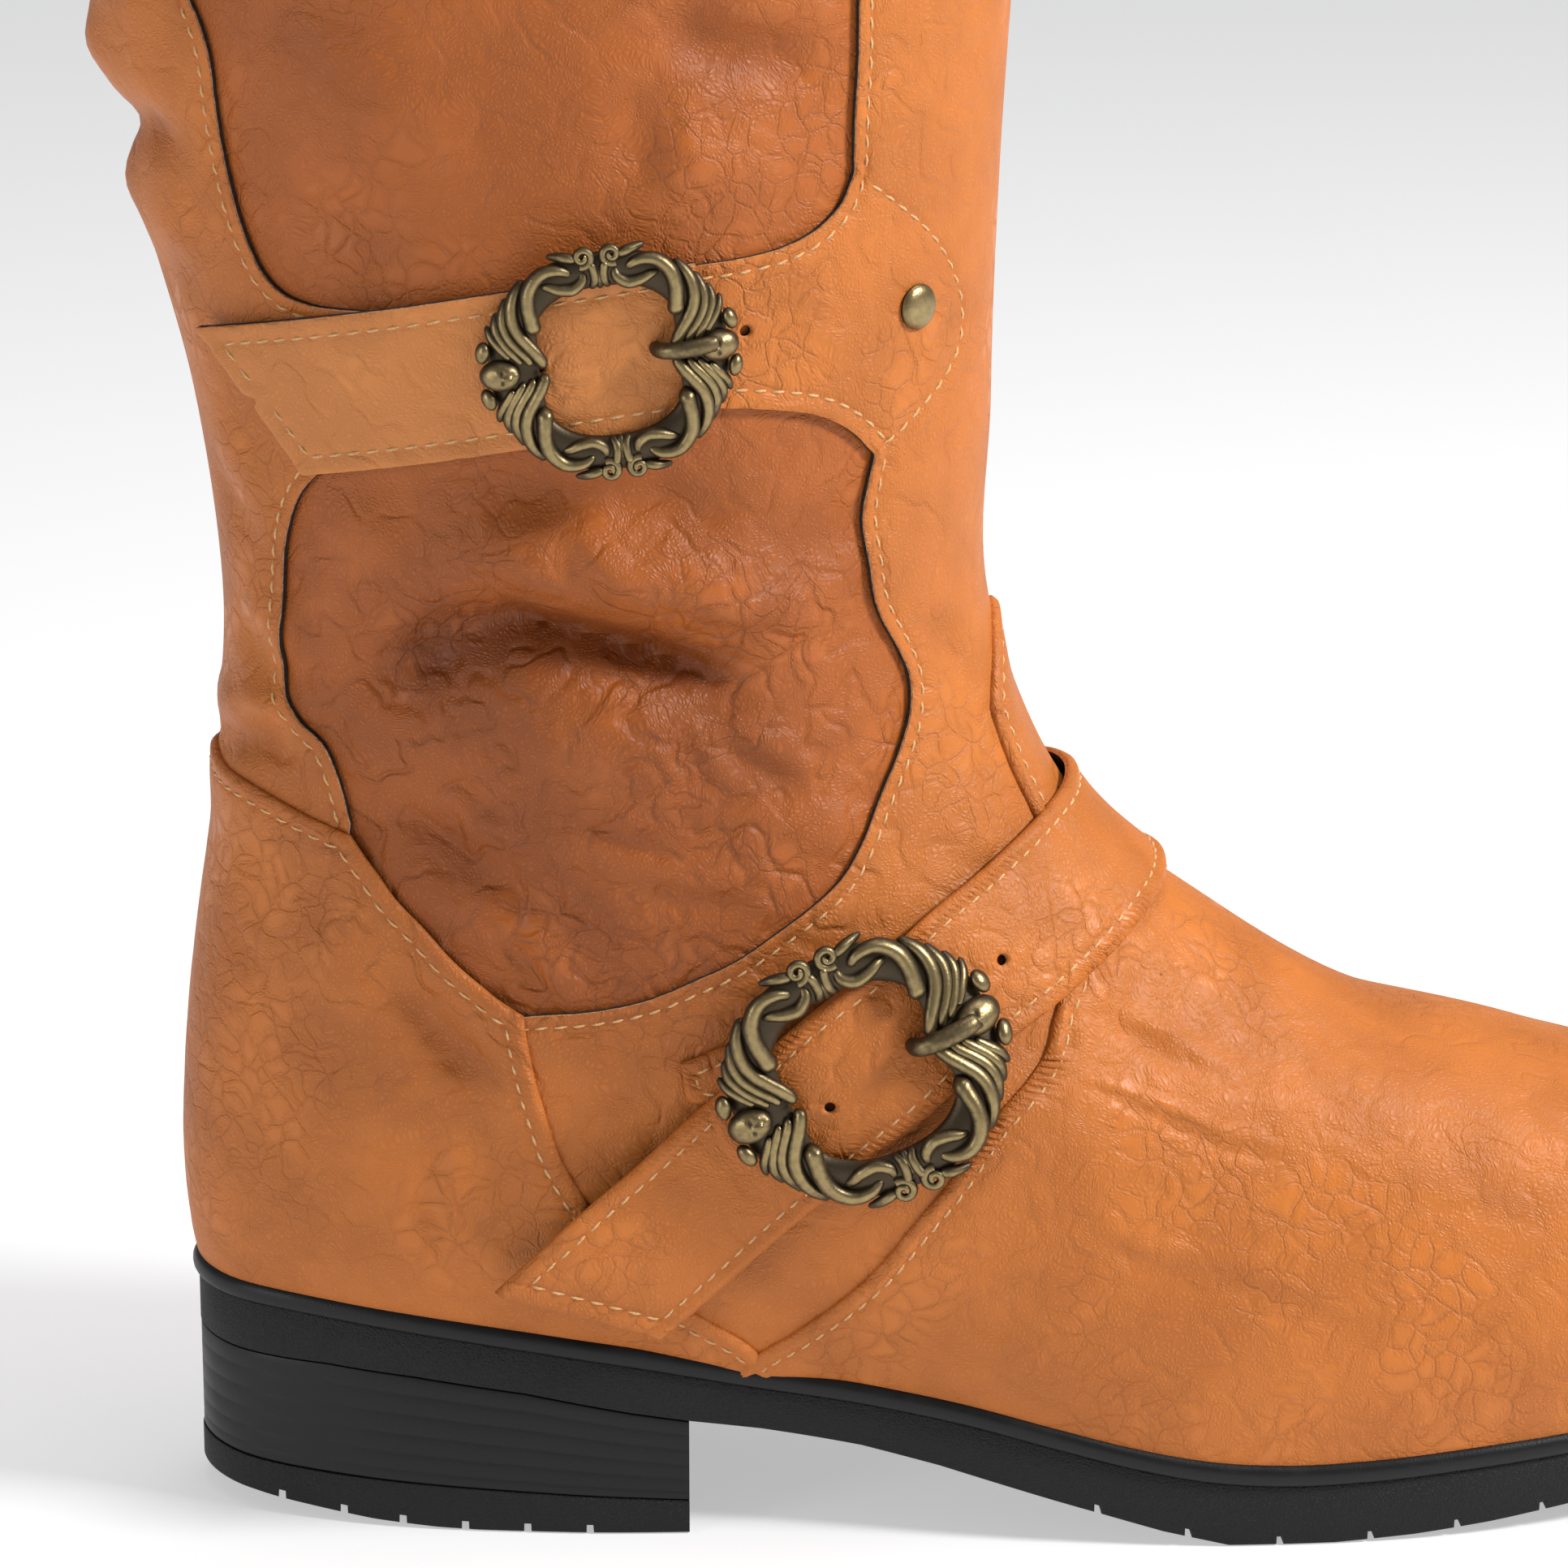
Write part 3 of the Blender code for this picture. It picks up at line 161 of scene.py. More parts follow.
# The leather's troughs (minus) and ridges (plus). Depth, width and the swell beside them in mm
CREASES = (
    # The deep fold over the ankle, and the lit roll above it
    Crease(
        (
            (0.110, 0.430), (0.135, 0.458), (0.160, 0.482), (0.200, 0.500), (0.240, 0.492), (0.285, 0.480),
            (0.330, 0.462)
        ),
        -3.9, 7.5, 0.0, 0.28
    ),
    Crease(
        ((0.165, 0.484), (0.200, 0.497), (0.240, 0.490), (0.285, 0.478), (0.320, 0.468)), -1.3, 2.6, 0.35,
        0.30
    ),
    Crease(
        ((0.150, 0.535), (0.205, 0.527), (0.240, 0.522), (0.285, 0.520), (0.330, 0.508), (0.362, 0.480)),
        2.4, 8.5, 0.0, 0.30
    ),
    Crease(((0.215, 0.545), (0.236, 0.524), (0.252, 0.500)), -0.9, 3.0, 0.5, 0.40),
    Crease(((0.095, 0.527), (0.125, 0.538), (0.155, 0.545)), 1.3, 6.0, 0.0, 0.45),
    Crease(
        ((0.178, 0.575), (0.205, 0.562), (0.232, 0.562), (0.275, 0.560), (0.320, 0.545)), -1.6, 6.0, 0.0, 0.30
    ),
    Crease(((0.405, 0.560), (0.376, 0.546), (0.335, 0.531), (0.305, 0.521)), -0.7, 5.0, 0.6, 0.40),
    # Slack folds lower in the window
    Crease(
        ((0.125, 0.402), (0.140, 0.372), (0.151, 0.352), (0.170, 0.332), (0.196, 0.316)), -1.5, 6.0, 0.0, 0.35
    ),
    Crease(((0.175, 0.420), (0.216, 0.436), (0.255, 0.436), (0.290, 0.424)), 1.1, 9.0, 0.0, 0.40),
    Crease(((0.280, 0.446), (0.305, 0.432), (0.330, 0.414)), -0.8, 3.2, 0.5, 0.40),
    Crease(((0.262, 0.452), (0.272, 0.439), (0.282, 0.415)), -0.6, 2.2, 0.3, 0.40),
    Crease(((0.200, 0.395), (0.225, 0.385), (0.250, 0.372)), -0.5, 3.0, 0.3, 0.40),
    Crease(((0.150, 0.415), (0.172, 0.392), (0.190, 0.378)), -0.6, 3.0, 0.3, 0.40),
    Crease(((0.215, 0.350), (0.245, 0.342), (0.272, 0.350)), -0.6, 4.0, 0.3, 0.40),
    Crease(((0.300, 0.385), (0.322, 0.400), (0.345, 0.420)), 0.8, 5.0, 0.0, 0.40),
    # Puckers where the back strip meets the heel panel
    Crease(((0.000, 0.378), (0.030, 0.392), (0.060, 0.400), (0.094, 0.396)), -1.2, 3.4, 0.7, 0.35),
    Crease(((0.035, 0.412), (0.061, 0.412), (0.085, 0.420)), -0.8, 2.6, 0.5, 0.40),
    Crease(((0.030, 0.480), (0.055, 0.462), (0.074, 0.438)), -0.7, 4.0, 0.5, 0.40),
    Crease(((0.020, 0.560), (0.045, 0.540), (0.066, 0.515)), -0.6, 5.0, 0.4, 0.40),
    # The shaft gives at the back
    Crease(((-0.060, 0.722), (0.000, 0.716), (0.045, 0.724), (0.085, 0.722)), -2.0, 4.6, 0.0, 0.30),
    Crease(((-0.045, 0.758), (0.000, 0.756), (0.045, 0.760)), 1.6, 6.0, 0.0, 0.35),
    Crease(((-0.035, 0.690), (0.000, 0.688), (0.040, 0.694)), 0.9, 5.0, 0.0, 0.40),
    Crease(((0.010, 0.640), (0.040, 0.655), (0.072, 0.650)), -0.6, 5.0, 0.4, 0.40),
    Crease(((-0.030, 0.850), (0.000, 0.845), (0.050, 0.852)), -0.9, 6.0, 0.5, 0.40),
    # Upper window
    Crease(
        ((0.285, 0.800), (0.300, 0.776), (0.320, 0.768), (0.342, 0.764), (0.368, 0.752)), -1.9, 5.5, 0.8, 0.35
    ),
    Crease(((0.283, 0.765), (0.278, 0.730), (0.280, 0.695)), -0.9, 4.5, 0.4, 0.40),
    Crease(((0.262, 0.705), (0.298, 0.716), (0.323, 0.715), (0.348, 0.722)), 1.2, 6.5, 0.0, 0.40),
    Crease(((0.115, 0.772), (0.157, 0.756), (0.190, 0.740), (0.205, 0.715)), 0.8, 8.0, 0.0, 0.40),
    Crease(((0.105, 0.700), (0.140, 0.690), (0.185, 0.686)), -0.7, 6.0, 0.3, 0.40),
    Crease(((0.130, 0.850), (0.185, 0.835), (0.250, 0.842), (0.320, 0.860)), -1.3, 8.0, 0.6, 0.35),
    Crease(((0.160, 0.905), (0.230, 0.893), (0.300, 0.903)), 0.8, 8.0, 0.0, 0.40),
    # Heel panel
    Crease(((0.108, 0.262), (0.120, 0.235), (0.127, 0.195), (0.124, 0.150)), -1.4, 6.0, 0.0, 0.35),
    Crease(((0.085, 0.300), (0.095, 0.250), (0.100, 0.200)), 0.9, 7.0, 0.0, 0.45),
    Crease(
        ((0.115, 0.125), (0.113, 0.104), (0.109, 0.080), (0.112, 0.060), (0.113, 0.044)), -0.6, 1.8, 0.5, 0.30
    ),
    Crease(((0.040, 0.260), (0.058, 0.240), (0.070, 0.210)), -0.4, 2.6, 0.3, 0.40),
    Crease(((0.155, 0.304), (0.164, 0.280), (0.163, 0.244)), -0.6, 3.0, 0.4, 0.40),
    Crease(((0.170, 0.150), (0.176, 0.110), (0.178, 0.080)), -0.5, 5.0, 0.3, 0.40),
    # Front panel and forefoot
    Crease(((0.410, 0.498), (0.429, 0.478), (0.441, 0.452)), -0.6, 4.0, 0.4, 0.40),
    Crease(((0.413, 0.430), (0.400, 0.405), (0.378, 0.375)), 0.7, 6.0, 0.0, 0.40),
    Crease(((0.357, 0.285), (0.360, 0.256), (0.352, 0.220)), -0.5, 4.0, 0.5, 0.40),
    Crease(((0.308, 0.222), (0.319, 0.194), (0.326, 0.168), (0.345, 0.146)), -0.4, 3.0, 0.4, 0.40),
    Crease(((0.263, 0.120), (0.281, 0.095), (0.302, 0.092), (0.335, 0.066)), -0.4, 2.4, 0.35, 0.35),
    # The inner side gives in the same places
    Crease(
        ((0.885, 0.432), (0.855, 0.470), (0.800, 0.497), (0.745, 0.486), (0.680, 0.462)), -2.6, 7.5, 0.0, 0.30
    ),
    Crease(((0.850, 0.535), (0.790, 0.525), (0.725, 0.520), (0.660, 0.492)), 1.9, 8.5, 0.0, 0.35),
    Crease(((0.868, 0.392), (0.850, 0.352), (0.812, 0.322)), -1.3, 6.0, 0.3, 0.40),
    Crease(((0.735, 0.765), (0.700, 0.760), (0.650, 0.772)), -1.4, 6.0, 0.6, 0.40),
    Crease(((0.870, 0.850), (0.800, 0.838), (0.720, 0.846)), -1.1, 8.0, 0.5, 0.40),
    Crease(((0.950, 0.400), (0.985, 0.390), (1.010, 0.380)), -0.8, 3.2, 0.5, 0.40),
)


@dataclass
class BootForm:
    """The boot's outer form, read by places (round, up)."""

    crease_gain: float = 1.8
    sole_length: float = 0.303
    ball_width: float = 0.100
    boot_height: float = 0.366
    heel_seat: float = 0.046
    ball_sole: float = 0.016
    toe_spring: float = 0.0125
    heel_length: float = 0.0905
    heel_bevel: float = 0.0040
    top_piece_back: float = 0.0105
    top_piece_front: float = 0.0063
    origin_x: float = 0.070
    creases: tuple[Crease, ...] = CREASES

    def __post_init__(self) -> None:
        """Work out the rings' knots once, and each crease's local scale."""
        height = self.boot_height - self.heel_seat
        self.rows = np.array([
            (back * self.sole_length, back_up * height, front * self.sole_length, front_up * height, follow,
             *(width * self.ball_width for width in widths))
            for back, back_up, front, front_up, follow, widths in RINGS
        ])
        level = (1 - self.rows[:, 4]) * self.heel_seat
        back = self.rows[:, 1] + self.rows[:, 4] * self.rim_top(self.rows[:, 0]) + level
        front = self.rows[:, 3] + self.rows[:, 4] * self.rim_top(self.rows[:, 2]) + level
        steps = np.hypot(np.diff(self.rows[:, 0]), np.diff(back)) + np.hypot(
            np.diff(self.rows[:, 2]), np.diff(front)
        )
        knots = np.concatenate([[0.0], np.cumsum(steps)])
        self.up_knots = knots / knots[-1]
        share = np.array((0.0, *STATIONS, 1.0))
        width = 0.33 * np.sqrt(np.clip(1 - (2 * share - 1) ** 2, 0, 1))
        half = np.concatenate([[0.0], np.cumsum(np.hypot(np.diff(share), np.diff(width)))])
        half /= 2 * half[-1]
        self.round_knots = np.concatenate([half, 1 - half[-2::-1]])
        self.crease_scales = []
        for crease in self.creases:
            middle = np.array(crease.line).mean(axis=0)
            by_round, by_up = self.steps(middle[:1], middle[1:])
            self.crease_scales.append((np.linalg.norm(by_round) / MM, np.linalg.norm(by_up) / MM))

    def rim_top(self, x: np.ndarray) -> np.ndarray:
        """Return the height of the welt's top at each x."""
        table = np.array(RIM_TOP)
        share = smooth_curve(table[:, 0], table[:, 1], np.asarray(x) / self.sole_length)
        return self.ball_sole + share * (self.heel_seat - self.ball_sole)

    def sole_underside(self, x: np.ndarray) -> np.ndarray:
        """Return the height of the sole's underside at each x, without the heel."""
        share = np.asarray(x) / self.sole_length
        back, front = np.array(SOLE_UNDERSIDE), np.array(TOE_UNDERSIDE)
        rise = np.interp(share, front[:, 0], front[:, 1]) * self.toe_spring
        return np.interp(share, back[:, 0], back[:, 1]) * self.heel_seat + rise

    def heel_underside(self, x: np.ndarray) -> np.ndarray:
        """Return the height of the heel's floor face at each x."""
        table = np.array(HEEL_UNDERSIDE)
        return np.interp(np.asarray(x) / self.sole_length, table[:, 0], table[:, 1]) * self.heel_bevel

    def top_piece_line(self, x: np.ndarray) -> np.ndarray:
        """Return the height of the joint between the heel's stack and its top piece."""
        return np.interp(x, (0.0, self.heel_length), (self.top_piece_back, self.top_piece_front))

    def ring(self, values: np.ndarray, places: np.ndarray) -> np.ndarray:
        """Read closed smooth curves, one row of values per place, at the places."""
        knots = self.round_knots
        count = values.shape[1]
        row = np.arange(len(places))
        knots = np.concatenate([knots[-2:-1] - 1, knots[:-1], [1.0, 1 + knots[1]]])
        values = np.concatenate([values[:, -1:], values, values[:, :2]], axis=1)
        low = np.clip(np.searchsorted(knots[1:-2], places, side="right"), 1, count)

        def slope(at: np.ndarray) -> np.ndarray:
            """Return the curve's slope at each knot."""
            before = knots[at] - knots[at - 1]
            after = knots[at + 1] - knots[at]
            rise_before = (values[row, at] - values[row, at - 1]) / before
            rise_after = (values[row, at + 1] - values[row, at]) / after
            return (rise_before * after + rise_after * before) / (before + after)

        step = knots[low + 1] - knots[low]
        t = (places - knots[low]) / step
        start = (2 * t**3 - 3 * t**2 + 1) * values[row, low] + (t**3 - 2 * t**2 + t) * step * slope(low)
        end = (3 * t**2 - 2 * t**3) * values[row, low + 1] + (t**3 - t**2) * step * slope(low + 1)
        return start + end

    def surface(self, around: np.ndarray, up: np.ndarray) -> np.ndarray:
        """Return points of the upper's plain outer face at places (round, up)."""
        around, up = np.broadcast_arrays(np.atleast_1d(around) % 1.0, np.atleast_1d(up))
        shape = around.shape
        around = around.ravel().astype(float)
        row = smooth_curve(self.up_knots, self.rows, up.ravel().astype(float))
        back_x, back_up, front_x, front_up, follow = row[:, :5].T
        widths = row[:, 5:]
        inner = np.array(INNER_SIDE) * follow[:, None]
        zero = np.zeros((len(row), 1))
        across = np.concatenate([zero, -widths * (1 - inner), zero, (widths * (1 + inner))[:, ::-1]], axis=1)
        along = np.broadcast_to(np.array((0.0, *STATIONS, 1.0, *STATIONS[::-1])), across.shape)
        share = self.ring(along, around)
        y = self.ring(across, around)
        x = back_x + share * (front_x - back_x)
        z = back_up + share * (front_up - back_up) + follow * self.rim_top(x) + (1 - follow) * self.heel_seat
        return np.stack([x, y, z], axis=-1).reshape(*shape, 3)

    def steps(self, around: np.ndarray, up: np.ndarray) -> tuple[np.ndarray, np.ndarray]:
        """Return how far a point moves per unit of round and of up."""
        step = 0.002
        low, high = np.clip(np.asarray(up) - step, 0, 1), np.clip(np.asarray(up) + step, 0, 1)
        by_round = (
            self.surface(np.asarray(around) + step, up) - self.surface(np.asarray(around) - step, up)
        ) / (2 * step)
        by_up = (
            self.surface(around, high) - self.surface(around, low)
        ) / np.maximum(high - low, step)[..., None]
        return by_round, by_up

    def outward(self, around: np.ndarray, up: np.ndarray) -> np.ndarray:
        """Return unit vectors that point out of the upper."""
        around, up = np.broadcast_arrays(np.atleast_1d(around), np.atleast_1d(up))
        by_round, by_up = self.steps(around, up)
        normal = np.cross(by_round, by_up)
        return normal / np.maximum(np.linalg.norm(normal, axis=-1, keepdims=True), 1e-12)

    def relief(self, around: np.ndarray, up: np.ndarray) -> np.ndarray:
        """Return how far the creases lift or sink the leather at places (round, up)."""
        around, up = np.broadcast_arrays(np.atleast_1d(around).astype(float), np.atleast_1d(up).astype(float))
        total = np.zeros(around.shape)
        for crease, scale in zip(self.creases, self.crease_scales):
            line = np.array(crease.line) * scale
            middle = line[:, 0].mean() / scale[0]
            turned = around - np.round(around - middle)
            x, y = turned * scale[0], up * scale[1]
            reach = crease.width * 3.2
            near = (x > line[:, 0].min() - reach) & (x < line[:, 0].max() + reach)
            near &= (y > line[:, 1].min() - reach) & (y < line[:, 1].max() + reach)
            if not near.any():
                continue
            x, y = x[near], y[near]
            lengths = np.concatenate([[0.0], np.cumsum(np.linalg.norm(np.diff(line, axis=0), axis=1))])
            best = np.full(x.shape, np.inf)
            side = np.zeros(x.shape)
            where = np.zeros(x.shape)
            for (ax, ay), (bx, by), start, end in zip(line[:-1], line[1:], lengths[:-1], lengths[1:]):
                dx, dy = bx - ax, by - ay
                t = np.clip(((x - ax) * dx + (y - ay) * dy) / (dx * dx + dy * dy), 0, 1)
                ox, oy = x - ax - t * dx, y - ay - t * dy
                away = np.hypot(ox, oy)
                closer = away < best
                best = np.where(closer, away, best)
                side = np.where(closer, np.sign(dx * oy - dy * ox), side)
                where = np.where(closer, (start + t * (end - start)) / lengths[-1], where)
            fade = soft_step(0, crease.ends, where) * soft_step(0, crease.ends, 1 - where)
            shape = crease.depth * bell(best, 0, crease.width)
            shape += crease.swell * bell(best * side, 1.7 * crease.width, 1.1 * crease.width)
            total[near] += shape * fade * MM
        return total * self.crease_gain

    def over(
        self, around: np.ndarray, up: np.ndarray, height: np.ndarray, creased: float = 1.0
    ) -> np.ndarray:
        """Return points at a height over the leather, with a share of its creases."""
        height = np.asarray(height, float)
        if creased:
            height = height + creased * self.relief(around, up)
        return self.surface(around, up) + self.outward(around, up) * height[..., None]

    def shift(self, places: np.ndarray, move: np.ndarray) -> np.ndarray:
        """Move places on the surface by vectors that lie along it."""
        by_round, by_up = self.steps(places[:, 0], places[:, 1])
        a = np.einsum("ij,ij->i", by_round, by_round)
        b = np.einsum("ij,ij->i", by_round, by_up)
        c = np.einsum("ij,ij->i", by_up, by_up)
        p = np.einsum("ij,ij->i", by_round, move)
        q = np.einsum("ij,ij->i", by_up, move)
        free = np.maximum(a * c - b * b, 1e-12)
        return places + np.stack([(c * p - b * q) / free, (a * q - b * p) / free], axis=1)

    def resample(self, line: np.ndarray, pitch: float, smooth: bool = True) -> np.ndarray:
        """Return places evenly spaced along a line, its ends kept."""
        line = np.asarray(line, float)
        if smooth and len(line) > 2:
            points = self.surface(line[:, 0], line[:, 1])
            knots = np.concatenate(
                [[0.0], np.cumsum(np.maximum(np.linalg.norm(np.diff(points, axis=0), axis=1), 1e-6))]
            )
            line = smooth_curve(knots, line, np.linspace(0, knots[-1], 24 * len(line)))
        else:
            parts = [np.linspace(a, b, 24, endpoint=False) for a, b in zip(line[:-1], line[1:])]
            line = np.concatenate([*parts, line[-1:]])
        points = self.surface(line[:, 0], line[:, 1])
        knots = np.concatenate([[0.0], np.cumsum(np.linalg.norm(np.diff(points, axis=0), axis=1))])
        count = max(2, int(round(knots[-1] / pitch)) + 1)
        at = np.linspace(0, knots[-1], count)
        return np.stack([np.interp(at, knots, line[:, 0]), np.interp(at, knots, line[:, 1])], axis=1)

    def plan(self, around: np.ndarray, margin: float) -> np.ndarray:
        """Return the x and y of the upper's lower edge, moved out level by a margin."""
        step = 0.001
        up = np.zeros(len(around))
        centre = self.surface(around, up)[:, :2]
        along = (self.surface(around + step, up) - self.surface(around - step, up))[:, :2]
        out = np.stack([along[:, 1], -along[:, 0]], axis=1)
        return centre + margin * out / np.linalg.norm(out, axis=1, keepdims=True)


FORM = BootForm()


def mirrored(line: Sequence[Place]) -> tuple[Place, ...]:
    """Return a line of the outer side on the inner side."""
    return tuple((1.0 - around, up) for around, up in reversed(line))


def within(points: np.ndarray, outline: np.ndarray) -> np.ndarray:
    """Tell which points lie inside a closed outline."""
    inside = np.zeros(len(points), bool)
    x, y = points.T
    for (ax, ay), (bx, by) in zip(outline, np.roll(outline, -1, axis=0)):
        crosses = (ay > y) != (by > y)
        if crosses.any():
            at = ax + (y - ay) * (bx - ax) / (by - ay if by != ay else 1.0)
            inside ^= crosses & (x < at)
    return inside


def tree_of(points: np.ndarray) -> KDTree:
    """Return a search tree of points."""
    tree = KDTree(len(points))
    for index, point in enumerate(points):
        tree.insert(point, index)
    tree.balance()
    return tree


def nearest(tree: KDTree, points: np.ndarray) -> np.ndarray:
    """Return how far each point is from a tree's points."""
    return np.array([tree.find(point)[2] for point in points])


def new_piece(
    name: str, points: np.ndarray, faces: Sequence[Sequence[int]], smooth_angle: float = 50.0
) -> bpy.types.Object:
    """Make a mesh piece from points on the boot.

    Args:
        name: the piece's name.
        points: its corners, with x measured from the back of the sole.
        faces: corner numbers of each face.
        smooth_angle: edges sharper than this stay sharp, in degrees.

    Returns:
        The new object, whose place is in its mesh.
    """
    mesh = bpy.data.meshes.new(name)
    moved = np.asarray(points, float) - np.array((FORM.origin_x, 0.0, 0.0))
    mesh.from_pydata(moved.tolist(), [], [tuple(map(int, face)) for face in faces])
    mesh.update()
    piece = bpy.data.objects.new(name, mesh)
    bpy.context.scene.collection.objects.link(piece)
    mesh.shade_smooth()
    if smooth_angle < 180:
        mesh.set_sharp_from_angle(angle=math.radians(smooth_angle))
    return piece


def close_normals(piece: bpy.types.Object, weld: float = 0.0) -> None:
    """Merge a piece's doubles and turn its faces outwards."""
    work = bmesh.new()
    work.from_mesh(piece.data)
    if weld:
        bmesh.ops.remove_doubles(work, verts=work.verts, dist=weld)
        bmesh.ops.dissolve_degenerate(work, dist=weld, edges=work.edges)
    bmesh.ops.recalc_face_normals(work, faces=work.faces)
    work.to_mesh(piece.data)
    work.free()


def set_worn(piece: bpy.types.Object, values: np.ndarray, name: str = "worn") -> None:
    """Store one number per corner for the finish to read."""
    layer = piece.data.attributes.new(name, "FLOAT", "POINT")
    layer.data.foreach_set("value", np.asarray(values, np.float32))


def finish_piece(
    piece: bpy.types.Object, materials: Sequence[bpy.types.Material], slot: Slot, *nodes: str
) -> bpy.types.Object:
    """Give a piece its finish, its body and the solids that it stands for."""
    for material in materials:
        piece.data.materials.append(material)
    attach(piece, "root")
    if nodes:
        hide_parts(*nodes)
    LOG.info("%s: %d faces", piece.name, len(piece.data.polygons))
    return piece


def ring_quads(
    rows: int, columns: int, closed_rows: bool = False, offset: int = 0
) -> list[tuple[int, int, int, int]]:
    """Return the quads between closed rings of corners that are listed ring by ring."""
    quads = []
    for row in range(rows if closed_rows else rows - 1):
        low, high = offset + row * columns, offset + ((row + 1) % rows) * columns
        quads += [
            (low + i, low + (i + 1) % columns, high + (i + 1) % columns, high + i) for i in range(columns)
        ]
    return quads


# ---------------------------------------------------------------- leather sheets


@dataclass(frozen=True)
class Edge:
    """One stretch of a sheet's edge.

    line: its places, in order round the sheet.
    finish: how it is finished.
    inset: how far inside it the stitches run, or 0 for none.
    lapped: how much higher the sheet lies along it, over the piece beneath.
    smooth: whether the line is a curve through its places.
    pitch: how far apart its corners lie, or 0 for the sheet's own pitch.
    """

    line: tuple[Place, ...]
    finish: EdgeFinish = EdgeFinish.FOLDED
    inset: float = 3.3 * MM
    lapped: float = 0.0
    smooth: bool = True
    pitch: float = 0.0


@dataclass
class Sheet:
    """A sheet of leather laid over the boot."""

    name: str
    outline: tuple[Edge, ...]
    holes: tuple[tuple[Edge, ...], ...] = ()
    guides: tuple[tuple[Place, ...], ...] = ()
    guide_smooth: bool = True
    base: Callable[[np.ndarray], np.ndarray] | float = 0.3 * MM
    thickness: float = 1.3 * MM
    creased: float = 1.0
    bead: float = 0.30 * MM
    pitch: float = 1.3 * MM
    row: float = 1.7 * MM
    seam: bool = False

    def __post_init__(self) -> None:
        """Lay out the edges and the trees that measure how far a place is from them."""
        self.loops = []
        self.kinds = []
        for loop in (self.outline, *self.holes):
            places, owners = [], []
            for edge in loop:
                line = FORM.resample(np.array(edge.line), edge.pitch or self.pitch, edge.smooth)[:-1]
                places.append(line)
                owners += [edge] * len(line)
            self.loops.append(np.concatenate(places))
            self.kinds.append(owners)
        self.trees = []
        for loop in (self.outline, *self.holes):
            for edge in loop:
                if edge.finish in (EdgeFinish.HIDDEN, EdgeFinish.SEAM):
                    continue
                dense = FORM.resample(np.array(edge.line), 0.35 * MM, edge.smooth)
                self.trees.append((edge, tree_of(FORM.surface(dense[:, 0], dense[:, 1])), dense))
        self.guide_lines = [
            FORM.resample(np.array(line), 0.35 * MM, self.guide_smooth) for line in self.guides
        ]
        self.guide_trees = [tree_of(FORM.surface(line[:, 0], line[:, 1])) for line in self.guide_lines]

    def profile(self, places: np.ndarray) -> np.ndarray:
        """Return how high the sheet's face lies over its base at each place."""
        points = FORM.surface(places[:, 0], places[:, 1])
        rise = np.full(len(places), self.thickness)
        lap = np.zeros(len(places))
        extra = np.zeros(len(places))
        for edge, tree, _ in self.trees:
            away = nearest(tree, points)
            if edge.finish is EdgeFinish.FOLDED:
                t = np.clip(away / (1.25 * MM), 0, 1)
                rise = np.minimum(rise, self.thickness * (0.30 + 0.70 * np.sqrt(1 - (1 - t) ** 2)))
                extra += self.bead * bell(away, 1.5 * MM, 0.9 * MM)
            else:
                t = np.clip(away / (0.35 * MM), 0, 1)
                rise = np.minimum(rise, self.thickness * (0.84 + 0.16 * np.sqrt(1 - (1 - t) ** 2)))
                extra += 0.12 * MM * bell(away, 0.9 * MM, 0.8 * MM)
            if edge.inset:
                extra -= 0.34 * MM * bell(away, edge.inset, 0.55 * MM)
            if edge.lapped:
                lap = np.maximum(lap, edge.lapped * (1 - soft_step(3 * MM, 15 * MM, away)))
        for tree in self.guide_trees:
            extra -= 0.34 * MM * bell(nearest(tree, points), 0.0, 0.55 * MM)
        return rise + extra + lap

    def floor(self, places: np.ndarray) -> np.ndarray:
        """Return the height of the sheet's underside over the upper."""
        return self.base(places) if callable(self.base) else np.full(len(places), self.base)

    def top(self, places: np.ndarray) -> np.ndarray:
        """Return the height of the sheet's face over the upper."""
        return self.floor(places) + self.profile(places)

    def lap_under(self, places: np.ndarray) -> np.ndarray:
        """Return how much the sheet's underside is lifted along its lapped edges."""
        points = FORM.surface(places[:, 0], places[:, 1])
        lap = np.zeros(len(places))
        for edge, tree, _ in self.trees:
            if edge.lapped:
                lap = np.maximum(lap, edge.lapped * (1 - soft_step(3 * MM, 15 * MM, nearest(tree, points))))
        return lap

    def inner_rows(self) -> np.ndarray:
        """Return seeds in rows that run beside the edges and the guides."""
        rows = []
        for loop in (self.outline, *self.holes):
            for edge in loop:
                if edge.finish in (EdgeFinish.HIDDEN, EdgeFinish.SEAM):
                    continue
                rows += [self.offset(edge, away) for away in self.row_distances(edge)]
        for line in self.guide_lines:
            sparse = FORM.resample(line, self.pitch, False)
            for away in (-1.3, -0.5, 0.0, 0.5, 1.3):
                rows.append(self.sideways(sparse, away * MM))
        return np.concatenate(rows) if rows else np.zeros((0, 2))

    def row_distances(self, edge: Edge) -> list[float]:
        """Return how far inside an edge its rows of seeds lie."""
        rows = [0.3, 0.75, 1.25, 1.9, 2.6] if edge.finish is EdgeFinish.FOLDED else [0.4, 1.1]
        if edge.inset:
            middle = edge.inset / MM
            rows = [row for row in rows if row < middle - 0.6] + [
                middle - 0.5, middle, middle + 0.5, middle + 1.2
            ]
        return [row * MM for row in rows]

    def sideways(self, line: np.ndarray, distance: float) -> np.ndarray:
        """Move a line to its left on the surface by a distance."""
        points = FORM.surface(line[:, 0], line[:, 1])
        along = np.gradient(points, axis=0)
        along /= np.maximum(np.linalg.norm(along, axis=1, keepdims=True), 1e-12)
        left = np.cross(FORM.outward(line[:, 0], line[:, 1]), along)
        return FORM.shift(line, left * distance)

